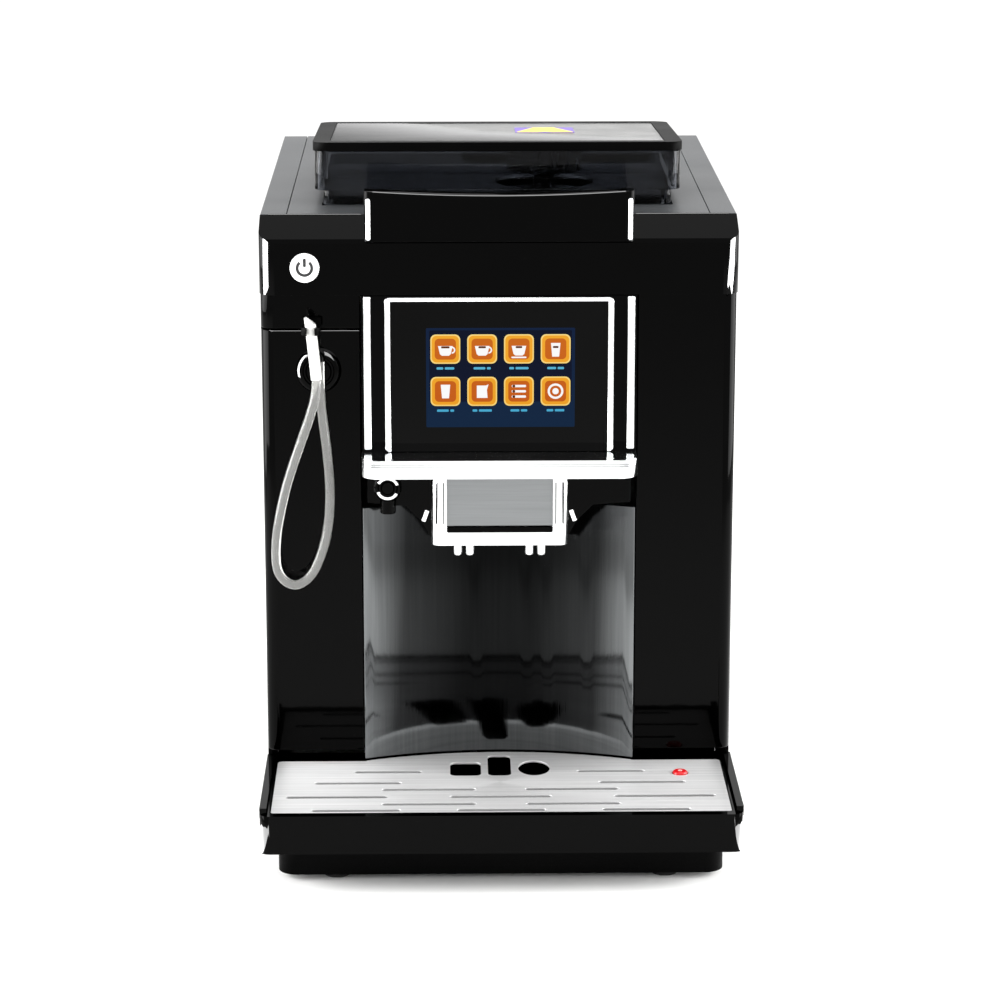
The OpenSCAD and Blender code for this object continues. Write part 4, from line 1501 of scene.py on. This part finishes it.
@dataclass
class Spout:
    """The sliding spout with its visor, lamps, nozzles and the hot water outlet."""

    nozzle_x: tuple[float, ...] = (-26.5, -18.9, 18.9, 26.5)
    nozzle_y: float = -150.0
    nozzle_low: float = 196.0
    nozzle_high: float = 212.0
    nozzle_r: float = 2.6
    bore_r: float = 1.5
    water: tuple[float, float] = (-70.9, 239.6)
    water_r: float = 8.8
    water_face: float = -134.0
    lip_z: float = 215.2
    gap_z: float = 232.5
    gap_x: tuple[float, ...] = (-40.2, -35.4, 35.4, 40.2)
    grooves: tuple[tuple[float, float], ...] = ((258.2, 82.0), (256.9, 83.0))

    def build(self, frame: dict) -> None:
        """Dresses the spout, rounds its nozzles and builds the water outlet.

        Args:
            frame: the loaded frame.
        """
        dress(frame, "chrome_visor", CHROME, 1.6)
        dress(frame, "spout_carrier", PIANO_BLACK, 0.6)
        dress(frame, "spout_shell", CHROME, 1.1)
        dress(frame, "spout_face", FACE_PLATE, 0.4)
        dress(frame, "cup_lights", LAMP, 0.3)
        nozzles = Shape()
        wall = self.nozzle_r - self.bore_r
        height = self.nozzle_high - self.nozzle_low
        section = [
            (self.bore_r, height), (self.nozzle_r, height), (self.nozzle_r, 1.2),
            (self.nozzle_r - wall * 0.2, 0.4), (self.nozzle_r - wall * 0.5, 0.0),
            (self.bore_r + wall * 0.1, 0.3), (self.bore_r, 0.9),
        ]
        for x in self.nozzle_x:
            place = (x, self.nozzle_y, self.nozzle_low)
            nozzles.turned(section, Facing.TOP, place, 32)
        nozzles.build("spout_nozzle_tubes", SATIN_CHROME, "coffee_spout", ["spout_nozzles"])
        self.gaps()
        self.visor_grooves()
        self.water_outlet()

    def gaps(self) -> None:
        """Draws the dark gaps round the brushed face, as inlays in the chrome shell; their black
        is painted shade.
        """
        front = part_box("spout_shell")[0].y / MM
        gaps = Shape()
        lip = rounded(67.0, 3.4, 1.0)
        gaps.plate(lip, Facing.FRONT, (0, front + 0.02, self.lip_z), 0.1)
        for x in self.gap_x:
            line = rounded(0.7, 27.0, 0.3, 3)
            gaps.plate(line, Facing.FRONT, (x, front + 0.02, self.gap_z), 0.1)
        gaps.build("spout_gaps", SATIN_BLACK, "coffee_spout")

    def visor_grooves(self) -> None:
        """Draws the two fine grooves along the visor as thin grey strips of painted shade."""
        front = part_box("chrome_visor")[0].y / MM
        grooves = Shape()
        for z, half in self.grooves:
            line = rounded(2 * half, 0.45, 0.2, 3)
            grooves.plate(line, Facing.FRONT, (0, front + 0.02, z), 0.05)
        grooves.build("visor_grooves", GROOVE_SHADE_GREY, "chassis")

    def water_outlet(self) -> None:
        """Builds the round outlet: a cap with a bright ring in two parts, and its tip."""
        x, z = self.water
        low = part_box("hot_water_outlet")[0]
        front = low.y / MM
        depth = self.water_face - front
        cap = Shape()
        r = self.water_r
        cap.turned(
            [(0, depth), (r - 5.2, depth), (r - 4.4, depth - 0.9), (r - 3.2, depth - 0.9),
             (r - 2.4, depth), (r - 0.9, depth - 0.3), (r, depth - 1.4), (r, 0), (0, 0)],
            Facing.FRONT, (x, self.water_face, z),
        )
        cap.build("water_outlet_cap", PIANO_BLACK, "chassis", ["hot_water_outlet"])
        tip = Shape()
        tip.turned(
            [(3.0, 0.4), (3.3, 0.0), (4.6, 0.0), (5.0, 0.5), (5.0, 10.5), (3.0, 10.5)],
            Facing.TOP, (x, -143.5, low.z / MM), 40,
        )
        tip.build("water_outlet_tip", PIANO_BLACK, "chassis")
        arcs = Shape()
        for start in (20, 200):
            band = arc_band(r - 3.2, r - 1.4, start, start + 130, 20)
            arcs.plate(band, Facing.FRONT, (x, self.water_face - depth + 0.2, z), 0.5)
        arcs.build("water_outlet_arcs", CHROME, "chassis", edge=0.15)


@dataclass
class Niche:
    """The stainless back plate and the front panels beside it, with the milk port."""

    port: tuple[float, float] = (-114.4, 311.4)
    port_r: float = 14.5
    port_tall: float = 4.5
    elbow_x: float = -113.5
    elbow_y: float = -137.0
    elbow_top: float = 322.4
    elbow_foot: float = 319.0
    elbow_r: float = 3.4
    elbow_out: float = 4.4
    elbow_bends: int = 6

    def build(self, frame: dict) -> None:
        """Dresses the front and builds the milk port.

        Args:
            frame: the loaded frame.
        """
        dress(frame, "backsplash", BACK_PLATE, 0.3)
        for node in ("left_front_panel", "left_upper_panel", "right_front_panel"):
            dress(frame, node, PIANO_BLACK, 0.9)
        self.milk_port()

    def milk_port(self) -> None:
        """Builds the port's turned cap and the elbow under it."""
        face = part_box("left_front_panel")[0].y / MM
        x, z = self.port
        r = self.port_r
        tall = self.port_tall
        cap = Shape()
        cap.turned(
            [(0, tall), (r - 7.0, tall), (r - 6.2, tall - 1.0), (r - 5.0, tall - 1.0),
             (r - 4.4, tall - 0.2), (r - 2.6, tall - 0.3), (r - 1.0, tall - 1.3),
             (r - 0.2, tall - 2.8), (r, 0.0), (9, 0.0), (9, -12), (0, -12)],
            Facing.FRONT, (x, face, z), 72,
        )
        cap.build("milk_port_cap", PIANO_BLACK, "chassis", ["milk_port"])
        elbow = Shape()
        across, depth, top, r = self.elbow_x, self.elbow_y, self.elbow_top, self.elbow_r
        angles = [math.pi / 2 * k / self.elbow_bends for k in range(self.elbow_bends)]
        bend = [
            (across, depth + r * (1 - math.sin(a)), top - r * (1 - math.cos(a)))
            for a in angles
        ]
        foot = (across, depth, self.elbow_foot)
        elbow.pipe([(across, face - self.elbow_out, top), *bend, foot], r, 28)
        elbow.build("milk_port_elbow", PIANO_BLACK, "chassis", edge=0.4)


@dataclass
class DripDrawer:
    """The drip tray, its grille and the red level float."""

    glint_section: Outline = ((0.8, 0.0), (1.3, 0.0), (1.3, 0.12), (0.8, 0.12))

    def build(self, frame: dict) -> None:
        """Dresses the tray and its grille, and gives the float a pale ring of painted highlight.

        Args:
            frame: the loaded frame.
        """
        dress(frame, "drip_tray", PIANO_BLACK, 0.9)
        dress(frame, "drip_grille", GRILLE_STEEL, 0.35)
        dress(frame, "tray_float", FLOAT_RED, 0.4)
        low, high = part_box("tray_float")
        middle = (low + high) / 2 / MM
        # The pale ring paints the float's glint.
        ring = Shape().turned(
            self.glint_section, Facing.TOP, (middle.x, middle.y, high.z / MM), 32,
        )
        ring.build("float_ring", FLOAT_GLINT_PAINT, "level_float")


@dataclass
class Hopper:
    """The bean hopper, its lid with a label, the grind knob and the grinder."""

    label_x: tuple[float, float] = (13.0, 52.0)
    label_y: tuple[float, float] = (-6.0, 36.0)
    window_slope: float = 3.4

    def build(self, frame: dict) -> None:
        """Dresses the hopper, its lid and the grinder, and prints the lid's label.

        Args:
            frame: the loaded frame.
        """
        dress(frame, "bean_hopper", SMOKE, 0.6)
        dress(frame, "lid_window", LID_SMOKE, 0.4)
        dress(frame, "lid_frame", SATIN_BLACK, 0.8)
        dress(frame, "lid_pin", PIN_STEEL, 0.2)
        dress(frame, "grinder_knob", KNOB_GREY, 0.6)
        dress(frame, "grinder_body", CAST_ALUMINIUM, 0.5)
        dress(frame, "grinder_motor", MOTOR_STEEL, 0.8)
        dress(frame, "burr", BURR_STEEL, 0.3)
        x0, x1 = self.label_x
        y0, y1 = self.label_y
        peak = (x0 + x1) / 2
        violet = [(x0, y0), (x1, y0), (x1, y1), (x0, y1)]
        self.on_lid(violet, 0.05).build("lid_label_edge", VIOLET_INK, "hopper_lid")
        fan = [(x0 + 1, y0 + 3), (peak - 5, y0 + 3), (peak, y0 + 6), (peak + 5, y0 + 3),
               (x1 - 1, y0 + 3), (x1 - 1, y0 + 6), (peak + 7, y1 - 1), (peak - 7, y1 - 1),
               (x0 + 1, y0 + 6)]
        self.on_lid(fan, 0.11).build("lid_label", YELLOW_INK, "hopper_lid")

    def on_lid(self, outline: Outline, proud: float) -> Shape:
        """Lays a thin outline on the sloping window of the lid.

        Args:
            outline: its corners in X and Y.
            proud: how far its face stands above the window.

        Returns:
            The shape.
        """
        low, high = (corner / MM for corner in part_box("lid_window"))
        fall = math.tan(math.radians(self.window_slope))
        rings = [
            [Vector((x, y, high.z - (y - low.y) * fall + rise)) for x, y in outline]
            for rise in (-0.3, proud)
        ]
        return Shape().skin(rings)


@dataclass
class BrewingUnit:
    """The brewing unit and its drive."""

    def build(self, frame: dict) -> None:
        """Dresses the unit's pieces.

        Args:
            frame: the loaded frame.
        """
        dress(frame, "brew_frame", BREW_NYLON, 0.6)
        dress(frame, "brew_piston", PISTON_ACETAL, 0.4)
        dress(frame, "brew_gear", GEAR_ACETAL, 0.0)
        dress(frame, "motor_pinion", BRASS, 0.0)
        dress(frame, "gear_motor", MOTOR_STEEL, 0.5)


@dataclass
class WaterCircuit:
    """The tank, its seat and what the water runs through."""

    def build(self, frame: dict) -> None:
        """Dresses the circuit's pieces.

        Args:
            frame: the loaded frame.
        """
        dress(frame, "boiler", CAST_ALUMINIUM, 0.8)
        dress(frame, "pump", BRASS, 0.6)
        dress(frame, "flow_meter", CLEAR_BODY, 0.4)
        dress(frame, "hoses", HOSE, 0.0)
        dress(frame, "tank_seat", BREW_NYLON, 0.5)
        dress(frame, "water_tank", TANK_CLEAR, 0.5)
        dress(frame, "tank_lid", SATIN_BLACK, 0.6)
        dress(frame, "mains_inlet", FILLED_NYLON, 0.3)
        dress(frame, "rocker_switch", ROCKER_RED, 0.3)


def main() -> None:
    """Builds the studio, the cord and then each sub-assembly."""
    logging.basicConfig(level=logging.INFO, format="%(message)s")
    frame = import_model()
    bpy.context.view_layer.update()
    studio = Studio()
    studio.camera()
    MilkHose().build(frame)
    groups = (Casing(), FrontBand(), Screen(), Spout(), Niche(), DripDrawer(), Hopper(),
              BrewingUnit(), WaterCircuit())
    for group in groups:
        group.build(frame)
        LOG.info("%s is done", type(group).__name__)
    studio.floor()
    # The scrim paints a dark reflection into the back plate.
    studio.scrim()
    studio.light()


if __name__ == "__main__":
    main()
